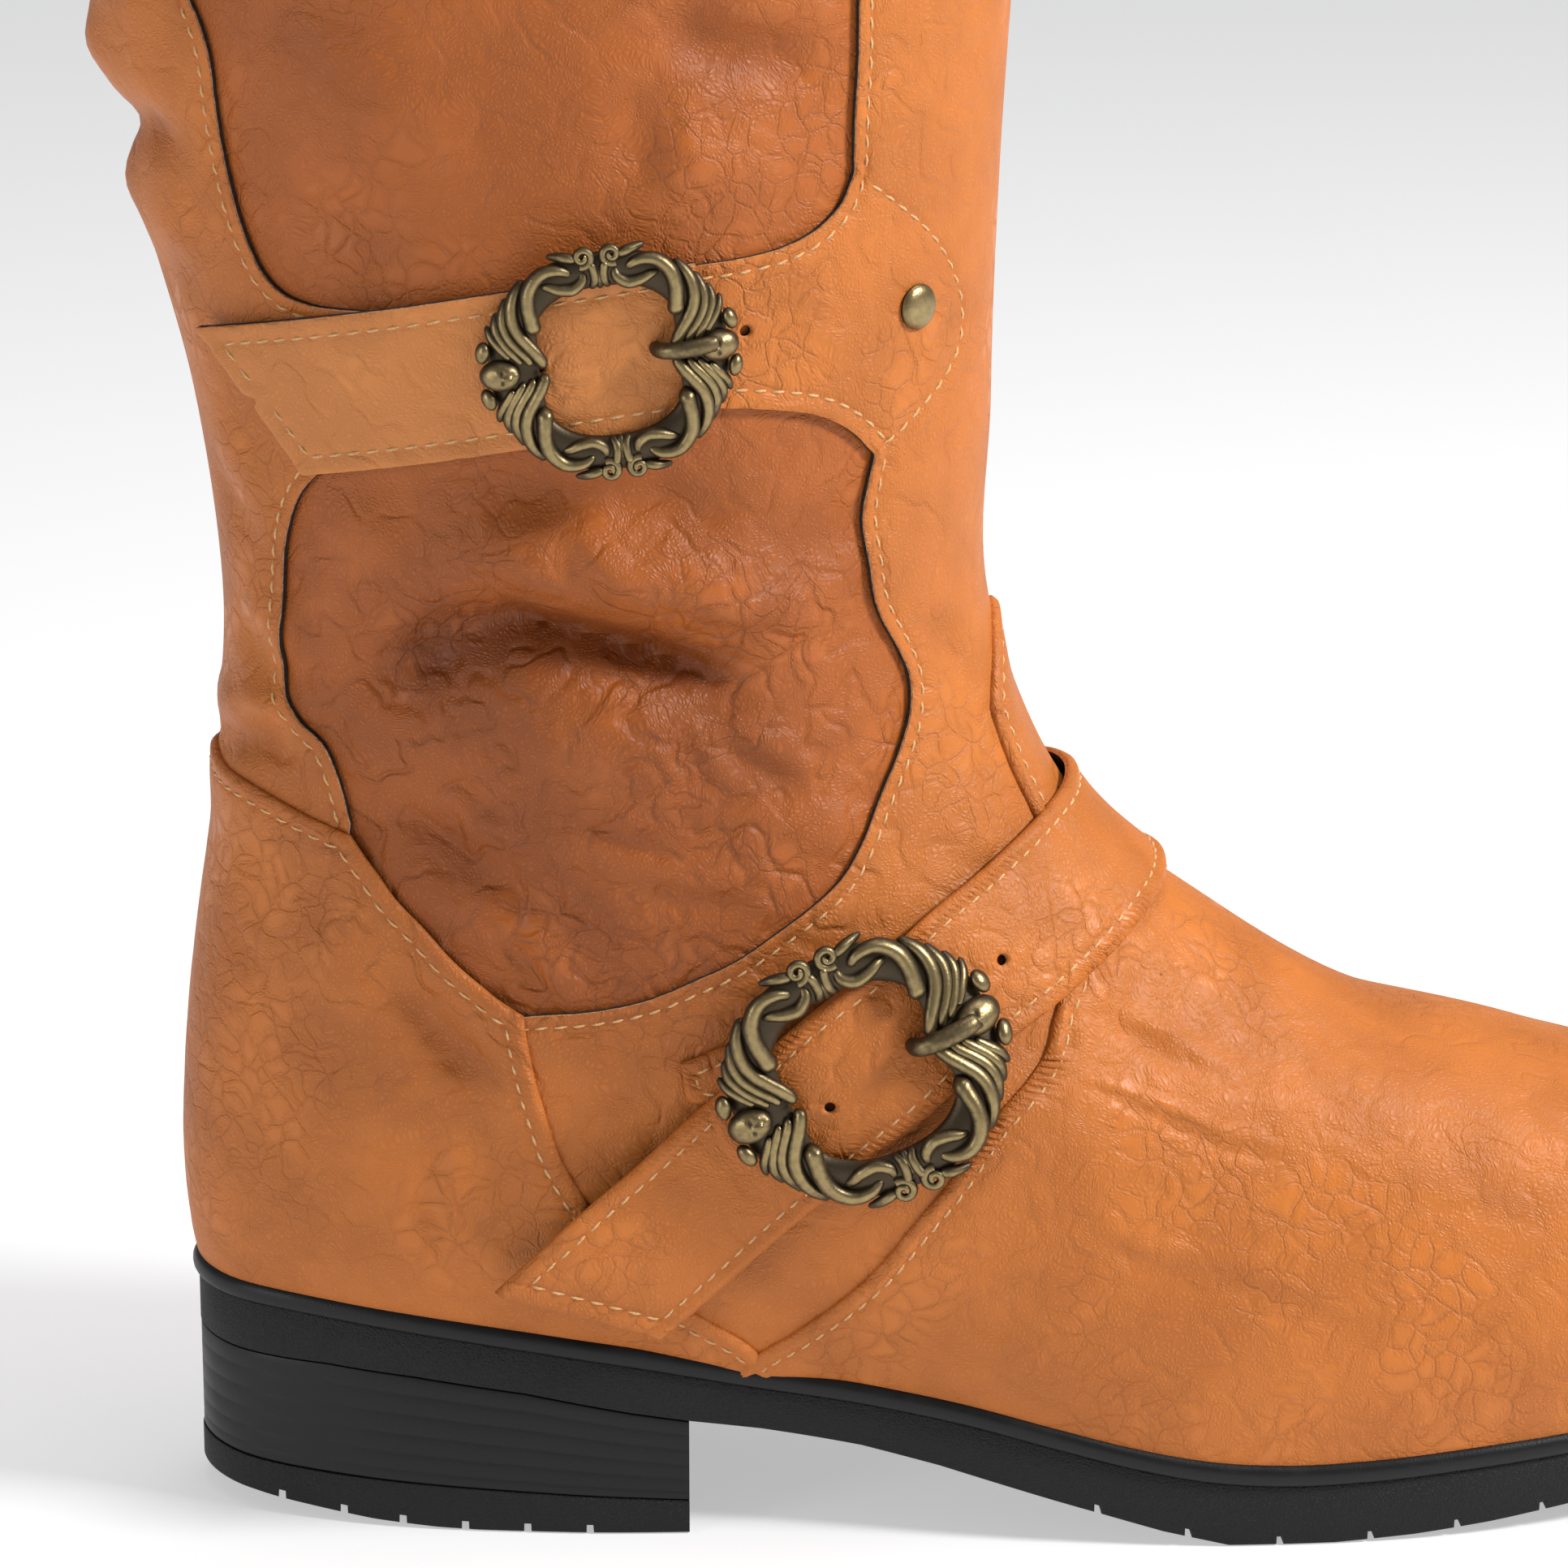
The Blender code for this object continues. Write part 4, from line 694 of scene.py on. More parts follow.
    def offset(self, edge: Edge, distance: float, pitch: float = 0.0, margin: float = 0.86) -> np.ndarray:
        """Return places at a distance inside an edge, without those that come near another edge."""
        line = FORM.resample(np.array(edge.line), pitch or edge.pitch or self.pitch, edge.smooth)
        sign = self.turn(edge)
        moved = self.sideways(line, sign * distance)
        moved[:, 1] = np.clip(moved[:, 1], 0.0, 1.0)
        points = FORM.surface(moved[:, 0], moved[:, 1])
        keep = np.ones(len(moved), bool)
        for _, tree, _ in self.trees:
            keep &= nearest(tree, points) > margin * distance
        return moved[keep]

    def turn(self, edge: Edge) -> float:
        """Return 1 if the sheet lies to the left of an edge, else -1."""
        for loop, owners in zip(self.loops, self.kinds):
            if any(owner is edge for owner in owners):
                area = np.sum(loop[:, 0] * np.roll(loop[:, 1], -1) - loop[:, 1] * np.roll(loop[:, 0], -1))
                first = loop is self.loops[0]
                return math.copysign(1.0, area) * (1.0 if first else -1.0)
        return 1.0

    def seeds(self, row: float) -> np.ndarray:
        """Return evenly spread places within the sheet's reach."""
        outer = self.loops[0]
        low, high = outer.min(axis=0), outer.max(axis=0)
        levels = np.arange(low[1] + 0.3 * row / 0.33, high[1], row / 0.33)
        found = []
        for index, level in enumerate(levels):
            around = np.linspace(low[0], high[0], 400)
            points = FORM.surface(around, np.full(400, level))
            length = np.concatenate([[0.0], np.cumsum(np.linalg.norm(np.diff(points, axis=0), axis=1))])
            at = np.arange((0.5 if index % 2 else 0.0) * 1.35 * row, length[-1], 1.35 * row)
            found.append(np.stack([np.interp(at, length, around), np.full(len(at), level)], axis=1))
        return np.concatenate(found)

    def triangulate(self, rows: np.ndarray, seeds: np.ndarray, clear: float) -> tuple[np.ndarray, np.ndarray]:
        """Fill the sheet's outline with triangles.

        Args:
            rows: places that are kept as they are.
            seeds: places that are kept only away from the edges and the rows.
            clear: how far away, as a share of the row's height.

        Returns:
            The places and the triangles.
        """
        scale = np.array((0.45, 0.35))
        outline = np.concatenate(self.loops)
        joined = tree_of(np.column_stack([outline * scale, np.zeros(len(outline))]))

        def inside(places: np.ndarray) -> np.ndarray:
            """Tell which places lie on the sheet."""
            keep = within(places, self.loops[0])
            for hole in self.loops[1:]:
                keep &= ~within(places, hole)
            return keep

        if len(rows):
            rows = rows[inside(rows)]
            keep = nearest(joined, np.column_stack([rows * scale, np.zeros(len(rows))])) > 0.12 * MM
            rows = rows[keep]
        if len(seeds):
            seeds = seeds[inside(seeds)]
            points = FORM.surface(seeds[:, 0], seeds[:, 1])
            fixed = np.concatenate([outline, rows]) if len(rows) else outline
            away = nearest(tree_of(FORM.surface(fixed[:, 0], fixed[:, 1])), points)
            seeds = seeds[away > clear]
        points, edges = [], []
        for loop in self.loops:
            first = len(points)
            points += (loop * scale).tolist()
            edges += [(first + i, first + (i + 1) % len(loop)) for i in range(len(loop))]
        points += (rows * scale).tolist() + (seeds * scale).tolist()
        flat, _, triangles, *_ = delaunay_2d_cdt(points, edges, [], 0, 1e-7)
        flat = np.array([tuple(point) for point in flat])
        triangles = np.array(triangles)
        corner = flat[triangles]
        first, second = corner[:, 1] - corner[:, 0], corner[:, 2] - corner[:, 0]
        area = first[:, 0] * second[:, 1] - first[:, 1] * second[:, 0]
        keep = inside(corner.mean(axis=1) / scale) & (np.abs(area) > 1e-11)
        return flat / scale, triangles[keep]

    def build(self) -> bpy.types.Object:
        """Return the sheet as a closed piece: face, raw or folded edge, and underside."""
        face_places, face = self.triangulate(self.inner_rows(), self.seeds(self.row), 0.72 * self.row)
        back_places, back = self.triangulate(np.zeros((0, 2)), self.seeds(3.2 * self.row), 2.0 * self.row)
        height = self.top(face_places)
        upper = FORM.over(face_places[:, 0], face_places[:, 1], height, self.creased)
        under_height = self.floor(back_places) + self.lap_under(back_places)
        under = FORM.over(back_places[:, 0], back_places[:, 1], under_height, self.creased)
        points = [*upper, *under]
        faces = [tuple(triangle) for triangle in face]
        faces += [tuple(triangle[::-1] + len(upper)) for triangle in back]
        material = [0] * len(face) + [2] * len(back)
        keys = {tuple(np.round(place, 6)): index + len(upper) for index, place in enumerate(back_places)}
        count: dict[tuple[int, int], int] = {}
        for triangle in face.tolist():
            for a, b in zip(triangle, triangle[1:] + triangle[:1]):
                count[(a, b)] = count.get((a, b), 0) + 1
        middle: dict[int, int] = {}
        for a, b in count:
            if (b, a) in count:
                continue
            below = [keys.get(tuple(np.round(face_places[i], 6))) for i in (a, b)]
            if None in below:
                continue
            place = face_places[[a, b]]
            if self.seam and np.all(
                np.abs(place[:, 0] - np.round(place[:, 0] * 2) / 2) < 1e-6
            ) and abs(place[0, 0] - place[1, 0]) < 1e-6:
                continue
            for corner, foot in zip((a, b), below):
                if corner not in middle:
                    middle[corner] = len(points)
                    points.append(points[corner] * 0.60 + points[foot] * 0.40)
            faces.append((b, a, middle[a], middle[b]))
            faces.append((middle[b], middle[a], below[0], below[1]))
            folded = self.edge_kind(place.mean(axis=0)) is EdgeFinish.FOLDED
            material += [0 if folded else 1, 0 if folded else 2]
        piece = new_piece(self.name, np.array(points), faces, 62)
        piece.data.polygons.foreach_set("material_index", material)
        # Crease depth per corner, for the leather to paint shade into its troughs.
        fold = np.zeros(len(points))
        fold[: len(upper)] = FORM.relief(face_places[:, 0], face_places[:, 1]) * self.creased / -MM
        set_worn(piece, fold, "fold")
        close_normals(piece, 0.004 * MM if self.seam else 0.0)
        return piece

    def edge_kind(self, place: np.ndarray) -> EdgeFinish:
        """Return the finish of the edge nearest to a place."""
        point = FORM.surface(place[:1], place[1:])
        found = [(tree.find(point[0])[2], edge.finish) for edge, tree, _ in self.trees]
        away, kind = min(found, key=lambda pair: pair[0]) if found else (1.0, EdgeFinish.HIDDEN)
        return kind if away < 1.5 * MM else EdgeFinish.HIDDEN

    def stitch_lines(self) -> list[np.ndarray]:
        """Return the lines that the sheet's stitches follow, as dense places."""
        lines = []
        for loop in (self.outline, *self.holes):
            for edge in loop:
                if edge.inset and edge.finish in (EdgeFinish.FOLDED, EdgeFinish.RAW):
                    lines += split_runs(self.offset(edge, edge.inset, 0.5 * MM, 0.93), 2.0 * MM)
        return lines + list(self.guide_lines)


def split_runs(places: np.ndarray, gap: float) -> list[np.ndarray]:
    """Cut a row of places wherever two neighbours lie further apart than a gap."""
    if len(places) < 4:
        return []
    points = FORM.surface(places[:, 0], places[:, 1])
    jumps = np.where(np.linalg.norm(np.diff(points, axis=0), axis=1) > gap)[0] + 1
    return [run for run in np.split(places, jumps) if len(run) > 6]


@dataclass
class Stitching:
    """A row of lock stitches: short capsules of thread that dive into the leather."""

    pitch: float = 3.4 * MM
    share: float = 0.70
    half_width: float = 0.27 * MM
    rise: float = 0.20 * MM
    sides: int = 6

    def build(self, name: str, sheet: Sheet) -> bpy.types.Object:
        """Return all the stitches of a sheet as one piece."""
        points: list[np.ndarray] = []
        faces: list[tuple[int, ...]] = []
        turn = np.arange(self.sides) * 2 * math.pi / self.sides
        for line in sheet.stitch_lines():
            surface = FORM.surface(line[:, 0], line[:, 1])
            length = np.concatenate([[0.0], np.cumsum(np.linalg.norm(np.diff(surface, axis=0), axis=1))])
            count = int(length[-1] / self.pitch)
            if count < 1:
                continue
            pitch = length[-1] / count
            starts = np.arange(count) * pitch + pitch * (1 - self.share) / 2
            share = np.array((0.0, 0.18, 0.5, 0.82, 1.0))
            at = (starts[:, None] + share * pitch * self.share).ravel()
            places = np.stack([np.interp(at, length, line[:, 0]), np.interp(at, length, line[:, 1])], axis=1)
            arch = np.tile(np.array((-0.24, 0.10, 1.0, 0.10, -0.24)), count) * self.rise
            centre = FORM.over(places[:, 0], places[:, 1], sheet.top(places) + arch, sheet.creased)
            normal = FORM.outward(places[:, 0], places[:, 1])
            centre = centre.reshape(count, 5, 3)
            normal = normal.reshape(count, 5, 3)
            along = centre[:, -1] - centre[:, 0]
            along /= np.maximum(np.linalg.norm(along, axis=1, keepdims=True), 1e-12)
            side = np.cross(normal, along[:, None])
            side /= np.maximum(np.linalg.norm(side, axis=-1, keepdims=True), 1e-12)
            lean = 0.10 * MM * np.array((-1.0, -0.6, 0.0, 0.6, 1.0))
            centre = centre + side * lean[None, :, None]
            radius = self.half_width * np.array((0.45, 0.95, 1.05, 0.95, 0.45))
            rings = centre[:, :, None] + (
                side[:, :, None] * np.cos(turn)[None, None, :, None]
                + normal[:, :, None] * np.sin(turn)[None, None, :, None]
            ) * radius[None, :, None, None]
            block = rings.reshape(count, -1, 3)
            for stitch in block:
                first = len(points) * 5 * self.sides
                points.append(stitch)
                faces += ring_quads(5, self.sides, offset=first)
                faces.append(tuple(first + i for i in reversed(range(self.sides))))
                faces.append(tuple(first + 4 * self.sides + i for i in range(self.sides)))
        piece = new_piece(name, np.concatenate(points), faces, 180)
        close_normals(piece)
        return piece


FOOT = float(FORM.up_knots[1]) * 0.55
COLLAR = 0.997

COUNTER_TOP: tuple[Place, ...] = (
    (0.000, 0.376), (0.013, 0.372), (0.054, 0.369), (0.079, 0.363), (0.100, 0.357), (0.106, 0.355),
)
COUNTER_SIDE: tuple[Place, ...] = (
    (0.106, 0.355), (0.109, 0.347), (0.113, 0.336), (0.121, 0.313), (0.130, 0.295), (0.138, 0.274),
    (0.147, 0.255), (0.156, 0.238),
)
COUNTER_FRONT: tuple[Place, ...] = (
    (0.156, 0.238), (0.151, 0.202), (0.147, 0.156), (0.146, 0.122), (0.150, 0.095), (0.160, 0.064),
    (0.174, 0.040), (0.188, 0.024), (0.194, FOOT),
)
VAMP_LINE: tuple[Place, ...] = (
    (0.444, 0.449), (0.4405, 0.426), (0.436, 0.402), (0.412, 0.357), (0.385, 0.325), (0.362, 0.300),
    (0.344, 0.280), (0.318, 0.243), (0.298, 0.216), (0.277, 0.187), (0.235, 0.111), (0.213, 0.065),
    (0.199, 0.040), (0.188, 0.020), (0.182, FOOT),
)
VAMP_PEAK: tuple[Place, ...] = (
    (
        0.556, 0.449
    ), (0.545, 0.461), (0.530, 0.474), (0.500, 0.486), (0.470, 0.474), (0.455, 0.461), (0.444, 0.449),
)
FRAME_FOOT: tuple[Place, ...] = (
    (0.000, 0.348), (0.060, 0.342), (0.086, 0.330), (0.100, 0.300), (0.112, 0.266), (0.128, 0.226),
    (0.135, 0.190), (
        0.134, 0.120
    ), (0.146, 0.050), (0.158, FOOT), (0.215, FOOT), (0.232, 0.060), (0.258, 0.110), (0.296, 0.165),
    (0.334, 0.215), (0.370, 0.255), (0.410, 0.298), (0.450, 0.345), (0.475, 0.385), (0.500, 0.395),
)
UPPER_WINDOW_LOW: tuple[Place, ...] = (
    (0.092, 0.788), (0.096, 0.776), (0.098, 0.760), (0.097, 0.744), (0.096, 0.724), (0.096, 0.705),
    (0.097, 0.688), (0.099, 0.674), (0.103, 0.661), (0.110, 0.653), (0.121, 0.649), (0.140, 0.648),
    (0.170, 0.650), (0.212, 0.656), (0.260, 0.665), (0.298, 0.672), (0.318, 0.674), (0.339, 0.678),
    (0.355, 0.685), (0.367, 0.696), (0.373, 0.709),
)
UPPER_WINDOW_HIGH: tuple[Place, ...] = (
    (0.373, 0.709), (0.373, 0.735), (0.374, 0.760), (0.373, 0.800), (0.374, 0.850), (0.373, 0.885),
    (0.369, 0.912), (0.356, 0.929), (0.335, 0.9355), (0.300, 0.936), (0.235, 0.936), (0.170, 0.936),
    (0.135, 0.935), (0.113, 0.930), (0.097, 0.914), (0.090, 0.885), (0.089, 0.830), (0.092, 0.788),
)
LOWER_WINDOW_BACK: tuple[Place, ...] = (
    (0.112, 0.567), (0.098, 0.554), (0.083, 0.528), (0.075, 0.489), (0.072, 0.459), (0.074, 0.438),
    (0.082, 0.424), (0.096, 0.411), (0.103, 0.389), (0.106, 0.362),
)
LOWER_WINDOW_TUCKED: tuple[Place, ...] = (
    (0.106, 0.362), (0.103, 0.342), (0.114, 0.308), (0.126, 0.275), (0.143, 0.236), (0.151, 0.233)
)
LOWER_WINDOW_FRONT: tuple[Place, ...] = (
    (0.151, 0.233), (0.161, 0.239), (0.175, 0.246), (0.199, 0.263), (0.226, 0.289), (0.240, 0.302),
    (0.266, 0.328), (0.287, 0.347), (0.317, 0.374), (0.339, 0.398), (0.360, 0.421), (0.379, 0.440),
    (0.392, 0.456), (0.397, 0.470), (0.394, 0.484), (0.388, 0.497), (0.384, 0.508), (0.380, 0.527),
    (0.379, 0.545), (0.380, 0.562), (0.383, 0.576),
)
LOWER_WINDOW_TOP: tuple[Place, ...] = (
    (0.383, 0.576), (0.369, 0.589), (0.352, 0.598), (0.327, 0.603), (0.303, 0.605), (0.260, 0.603),
    (0.216, 0.598), (0.157, 0.586), (0.112, 0.567),
)
STRAP_BASE_ARC: tuple[Place, ...] = (
    (0.381, 0.703), (0.398, 0.690), (0.418, 0.673), (0.432, 0.656), (0.4405, 0.638), (0.4395, 0.621),
    (0.428, 0.607), (0.412, 0.596), (0.396, 0.585), (0.387, 0.580),
)
SHAFT_STRAP_LINE: tuple[Place, ...] = (
    (0.083, 0.5985), (0.120, 0.606), (0.165, 0.615), (0.210, 0.624), (0.256, 0.632), (0.298, 0.638),
)
INSTEP_STRAP_LINE: tuple[Place, ...] = (
    (0.1475, 0.042), (0.172, 0.088), (0.205, 0.148), (0.230, 0.190), (0.253, 0.224), (0.285, 0.263),
    (0.319, 0.298), (0.352, 0.323), (0.398, 0.352), (0.437, 0.370), (0.470, 0.379), (0.500, 0.382),
    (0.530, 0.379), (0.563, 0.370), (0.602, 0.352), (0.648, 0.323), (0.681, 0.298), (0.715, 0.263),
    (0.747, 0.224), (0.770, 0.190), (0.795, 0.148), (0.820, 0.095), (0.838, 0.035),
)
BUCKLE_TAB: tuple[Place, ...] = (
    (0.189, 0.174), (0.196, 0.210), (0.216, 0.234), (0.240, 0.240), (0.240, 0.205), (0.215, 0.165)
)


@dataclass
class ShaftLeather:
    """The inner shell and the sheets sewn over it."""

    wall: float = 1.8 * MM
    columns: int = 300
    lap: float = 1.15 * MM
    raw_inset: float = 2.4 * MM
    fold_inset: float = 3.2 * MM

    def shell(self) -> bpy.types.Object:
        """Return the hollow shell whose outer face shows through the windows."""
        knots = np.interp(
            np.linspace(0, 1, 210), np.linspace(0, 1, 9), (0.0, 0.05, 0.2, 0.33, 0.45, 0.57, 0.72, 0.87, 1.0)
        )
        around = np.arange(self.columns) / self.columns
        grid_round, grid_up = np.meshgrid(around, knots)
        relief = FORM.relief(grid_round, grid_up)
        outer = FORM.over(grid_round, grid_up, relief, 0.0)
        low = np.min(
            [np.roll(relief, (row, column), (0, 1)) for row in range(-3, 4) for column in (-2, 0, 2)], axis=0
        )
        chosen = np.unique(np.linspace(0, len(knots) - 1, 70).round().astype(int))[::-1]
        inner = FORM.over(grid_round[chosen], grid_up[chosen], low[chosen] - self.wall, 0.0)
        inner[0, :, 2] = outer[-1, :, 2]
        inner[-1, :, 2] = outer[0, :, 2]
        loops = np.concatenate([outer, inner])
        faces = ring_quads(len(loops), self.columns, closed_rows=True)
        piece = new_piece("shaft_shell", loops.reshape(-1, 3), faces, 50)
        lining = np.zeros(len(faces), int)
        lining[(len(outer) - 1) * self.columns:] = 1
        piece.data.polygons.foreach_set("material_index", lining)
        # Crease depth on the outer face, for the leather to paint shade into its troughs.
        set_worn(piece, np.concatenate([relief, np.zeros((len(inner), self.columns))]).ravel() / -MM, "fold")
        return piece

    def frame_sheet(self) -> Sheet:
        """Return the front panel, back strip, band and quarter, cut as one with four windows."""
        foot = FRAME_FOOT + tuple((1.0 - around, up) for around, up in FRAME_FOOT[-2::-1])
        raw = self.raw_inset
        holes = []
        for mirror in (False, True):
            high = [
                Edge(UPPER_WINDOW_LOW, EdgeFinish.RAW, raw),
                Edge(UPPER_WINDOW_HIGH, EdgeFinish.RAW, raw),
            ]
            low = [
                Edge(LOWER_WINDOW_BACK, EdgeFinish.RAW, raw),
                Edge(LOWER_WINDOW_TUCKED, EdgeFinish.HIDDEN, 0.0, smooth=False),
                Edge(LOWER_WINDOW_FRONT, EdgeFinish.RAW, raw),
                Edge(LOWER_WINDOW_TOP, EdgeFinish.RAW, self.fold_inset),
            ]
            for loop in (high, low):
                if mirror:
                    loop = [
                        Edge(
                            mirrored(edge.line), edge.finish, edge.inset, edge.lapped, edge.smooth
                        ) for edge in reversed(loop)
                    ]
                holes.append(tuple(loop))
        holes.append(hole_edge((0.3185, 0.6405), 1.0 * MM))
        outline = (
            Edge(foot, EdgeFinish.HIDDEN, 0.0, smooth=False),
            Edge(((1.0, FRAME_FOOT[0][1]), (1.0, COLLAR)), EdgeFinish.SEAM, 0.0),
            Edge(
                ((1.0, COLLAR), (0.75, COLLAR), (0.5, COLLAR), (0.25, COLLAR), (0.0, COLLAR)),
                EdgeFinish.FOLDED, self.fold_inset
            ),
            Edge(((0.0, COLLAR), (0.0, FRAME_FOOT[0][1])), EdgeFinish.SEAM, 0.0),
        )
        return Sheet("shaft_frame_leather", outline, tuple(holes), (STRAP_BASE_ARC,), seam=True)

    def counter_sheet(self) -> Sheet:
        """Return the heel panel, which wraps the back."""
        turned = [
            tuple(
                (-around, up) for around, up in reversed(line)
            ) for line in (COUNTER_TOP, COUNTER_SIDE, COUNTER_FRONT)
        ]
        top = turned[0] + COUNTER_TOP[1:]
        outline = (
            Edge(
                ((-COUNTER_FRONT[-1][0], FOOT), (0.0, FOOT), (COUNTER_FRONT[-1][0], FOOT)),
                EdgeFinish.HIDDEN, 0.0, smooth=False
            ),
            Edge(tuple(reversed(COUNTER_FRONT)), EdgeFinish.FOLDED, self.fold_inset, self.lap),
            Edge(tuple(reversed(COUNTER_SIDE)), EdgeFinish.FOLDED, self.fold_inset, 0.5 * self.lap),
            Edge(tuple(reversed(top)), EdgeFinish.FOLDED, self.fold_inset, self.lap),
            Edge(tuple(reversed(turned[1])), EdgeFinish.FOLDED, self.fold_inset, 0.5 * self.lap),
            Edge(tuple(reversed(turned[2])), EdgeFinish.FOLDED, self.fold_inset, self.lap),
        )
        return Sheet("counter_leather", outline, bead=0.16 * MM)

    def vamp_sheet(self) -> Sheet:
        """Return the toe and forefoot panel with its pointed tongue."""
        outline = (
            Edge(
                ((VAMP_LINE[-1][0], FOOT), (0.5, FOOT), (1 - VAMP_LINE[-1][0], FOOT)), EdgeFinish.HIDDEN,
                0.0, smooth=False
            ),
            Edge(mirrored(VAMP_LINE), EdgeFinish.FOLDED, self.fold_inset, self.lap),
            Edge(VAMP_PEAK, EdgeFinish.FOLDED, self.fold_inset, self.lap),
            Edge(VAMP_LINE, EdgeFinish.FOLDED, self.fold_inset, self.lap),
        )
        return Sheet("vamp_leather", outline, bead=0.42 * MM)


def hole_edge(place: Place, radius: float) -> tuple[Edge, ...]:
    """Return the round edge of a hole punched through a strap."""
    turn = np.linspace(0, 2 * math.pi, 17)
    centre = np.tile(np.array(place, float), (17, 1))
    by_round, by_up = FORM.steps(centre[:, 0], centre[:, 1])
    along = by_round / np.linalg.norm(by_round, axis=1, keepdims=True)
    across = np.cross(FORM.outward(centre[:, 0], centre[:, 1]), along)
    ring = FORM.shift(centre, radius * (along * np.cos(turn)[:, None] + across * np.sin(turn)[:, None]))
    ring[-1] = ring[0]
    return (Edge(tuple(map(tuple, ring)), EdgeFinish.RAW, 0.0, smooth=False, pitch=0.35 * MM),)


@dataclass
class Strap:
    """A strap that follows the boot along a centre line, its free end first."""

    name: str
    line: tuple[Place, ...]
    slant: float
    edge: EdgeFinish
    base: Callable[[np.ndarray], np.ndarray] | float
    holes: tuple[Place, ...] = ()
    nick: tuple[tuple[float, float], ...] = ()
    width: float = 28 * MM
    thickness: float = 1.6 * MM
    inset: float = 3.2 * MM
    bead: float = 0.12 * MM
    creased: float = 0.25

    def sides(self) -> tuple[np.ndarray, np.ndarray]:
        """Return the strap's two long edges as places, free end first."""
        line = FORM.resample(np.array(self.line), 5 * MM)
        points = FORM.surface(line[:, 0], line[:, 1])
        along = np.gradient(points, axis=0)
        along /= np.linalg.norm(along, axis=1, keepdims=True)
        across = np.cross(FORM.outward(line[:, 0], line[:, 1]), along)
        sides = []
        for side in (1.0, -1.0):
            lean = np.zeros(len(line))
            lean[0] = self.slant * self.width / 2 * side
            lean[1] = 0.4 * lean[0]
            half = FORM.shift(line, across * side * self.width / 4 + along * lean[:, None] / 2)
            sides.append(FORM.shift(half, across * side * self.width / 4 + along * lean[:, None] / 2))
        return sides[0], sides[1]

    def sheet(self) -> Sheet:
        """Return the strap as a sheet of leather."""
        left, right = self.sides()
        end = [left[0]]
        for along, inward in self.nick:
            move = left[0] + (right[0] - left[0]) * along
            end.append(move + (left[2] - left[0]) * inward)
        end.append(right[0])
        outline = (
            Edge(tuple(map(tuple, end)), EdgeFinish.RAW, self.inset, smooth=False),
            Edge(tuple(map(tuple, right)), self.edge, self.inset),
            Edge((tuple(right[-1]), tuple(left[-1])), EdgeFinish.HIDDEN, 0.0, smooth=False),
            Edge(tuple(map(tuple, left[::-1])), self.edge, self.inset),
        )
        holes = tuple(hole_edge(place, 1.0 * MM) for place in self.holes)
        return Sheet(
            self.name, outline, holes, base=self.base, thickness=self.thickness, creased=self.creased,
            bead=self.bead
        )


def instep_lift(places: np.ndarray) -> np.ndarray:
    """Return how high the instep strap lies, more towards its lifted free end."""
    over_tab = np.interp(places[:, 0], (0.26, 0.42), (3.9 * MM, 3.1 * MM))
    return over_tab + np.clip((0.196 - places[:, 0]) / 0.072, 0, 1) ** 1.5 * 7.5 * MM


def shaft_lift(places: np.ndarray) -> np.ndarray:
    """Return how high the shaft strap lies, a little more at its free end."""
    return 2.2 * MM + np.clip((0.16 - places[:, 0]) / 0.10, 0, 1) ** 1.6 * 1.6 * MM


# ---------------------------------------------------------------- metal


@dataclass
class LocalFrame:
    """A flat frame on the boot, bent to follow it: along, across and height over the leather."""

    place: Place
    toward: Place
    reach: float = 28 * MM
    unit: float = 28 * MM

    def __post_init__(self) -> None:
        """Fit how the boot bends away from the frame."""
        step = 0.002
        around, up = self.place
        self.centre = FORM.surface(around, up)[0]
        by_round = (FORM.surface(around + step, up) - FORM.surface(around - step, up))[0]
        by_up = (FORM.surface(around, up + step) - FORM.surface(around, up - step))[0]
        self.normal = FORM.outward(around, up)[0]
        along = by_round * (self.toward[0] - around) + by_up * (self.toward[1] - up)
        self.along = along / np.linalg.norm(along)
        self.across = np.cross(self.normal, self.along)
        grid_round, grid_up = np.meshgrid(
            np.linspace(-0.08, 0.08, 41) + around, np.linspace(-0.11, 0.11, 41) + up
        )
        offset = FORM.surface(grid_round, np.clip(grid_up, 0, 1)).reshape(-1, 3) - self.centre
        a, b, c = offset @ self.along, offset @ self.across, offset @ self.normal
        near = (np.hypot(a, b) < self.reach) & (np.abs(c) < self.reach)
        self.bend = np.linalg.lstsq(self.terms(a[near], b[near]), c[near], rcond=None)[0]

    def terms(self, a: np.ndarray, b: np.ndarray) -> np.ndarray:
        """Return the terms of a fourth-degree polynomial in two lengths."""
        a, b = a / self.unit, b / self.unit
        return np.stack([a**i * b**j for i in range(5) for j in range(5 - i)], axis=-1)

    def points(self, a: np.ndarray, b: np.ndarray, height: np.ndarray) -> np.ndarray:
        """Return points at distances along and across, at a height over the leather."""
        a, b, height = np.broadcast_arrays(
            np.asarray(a, float), np.asarray(b, float), np.asarray(height, float)
        )
        rise = height + self.terms(a, b) @ self.bend
        return self.centre + a[
            ..., None
        ] * self.along + b[..., None] * self.across + rise[..., None] * self.normal


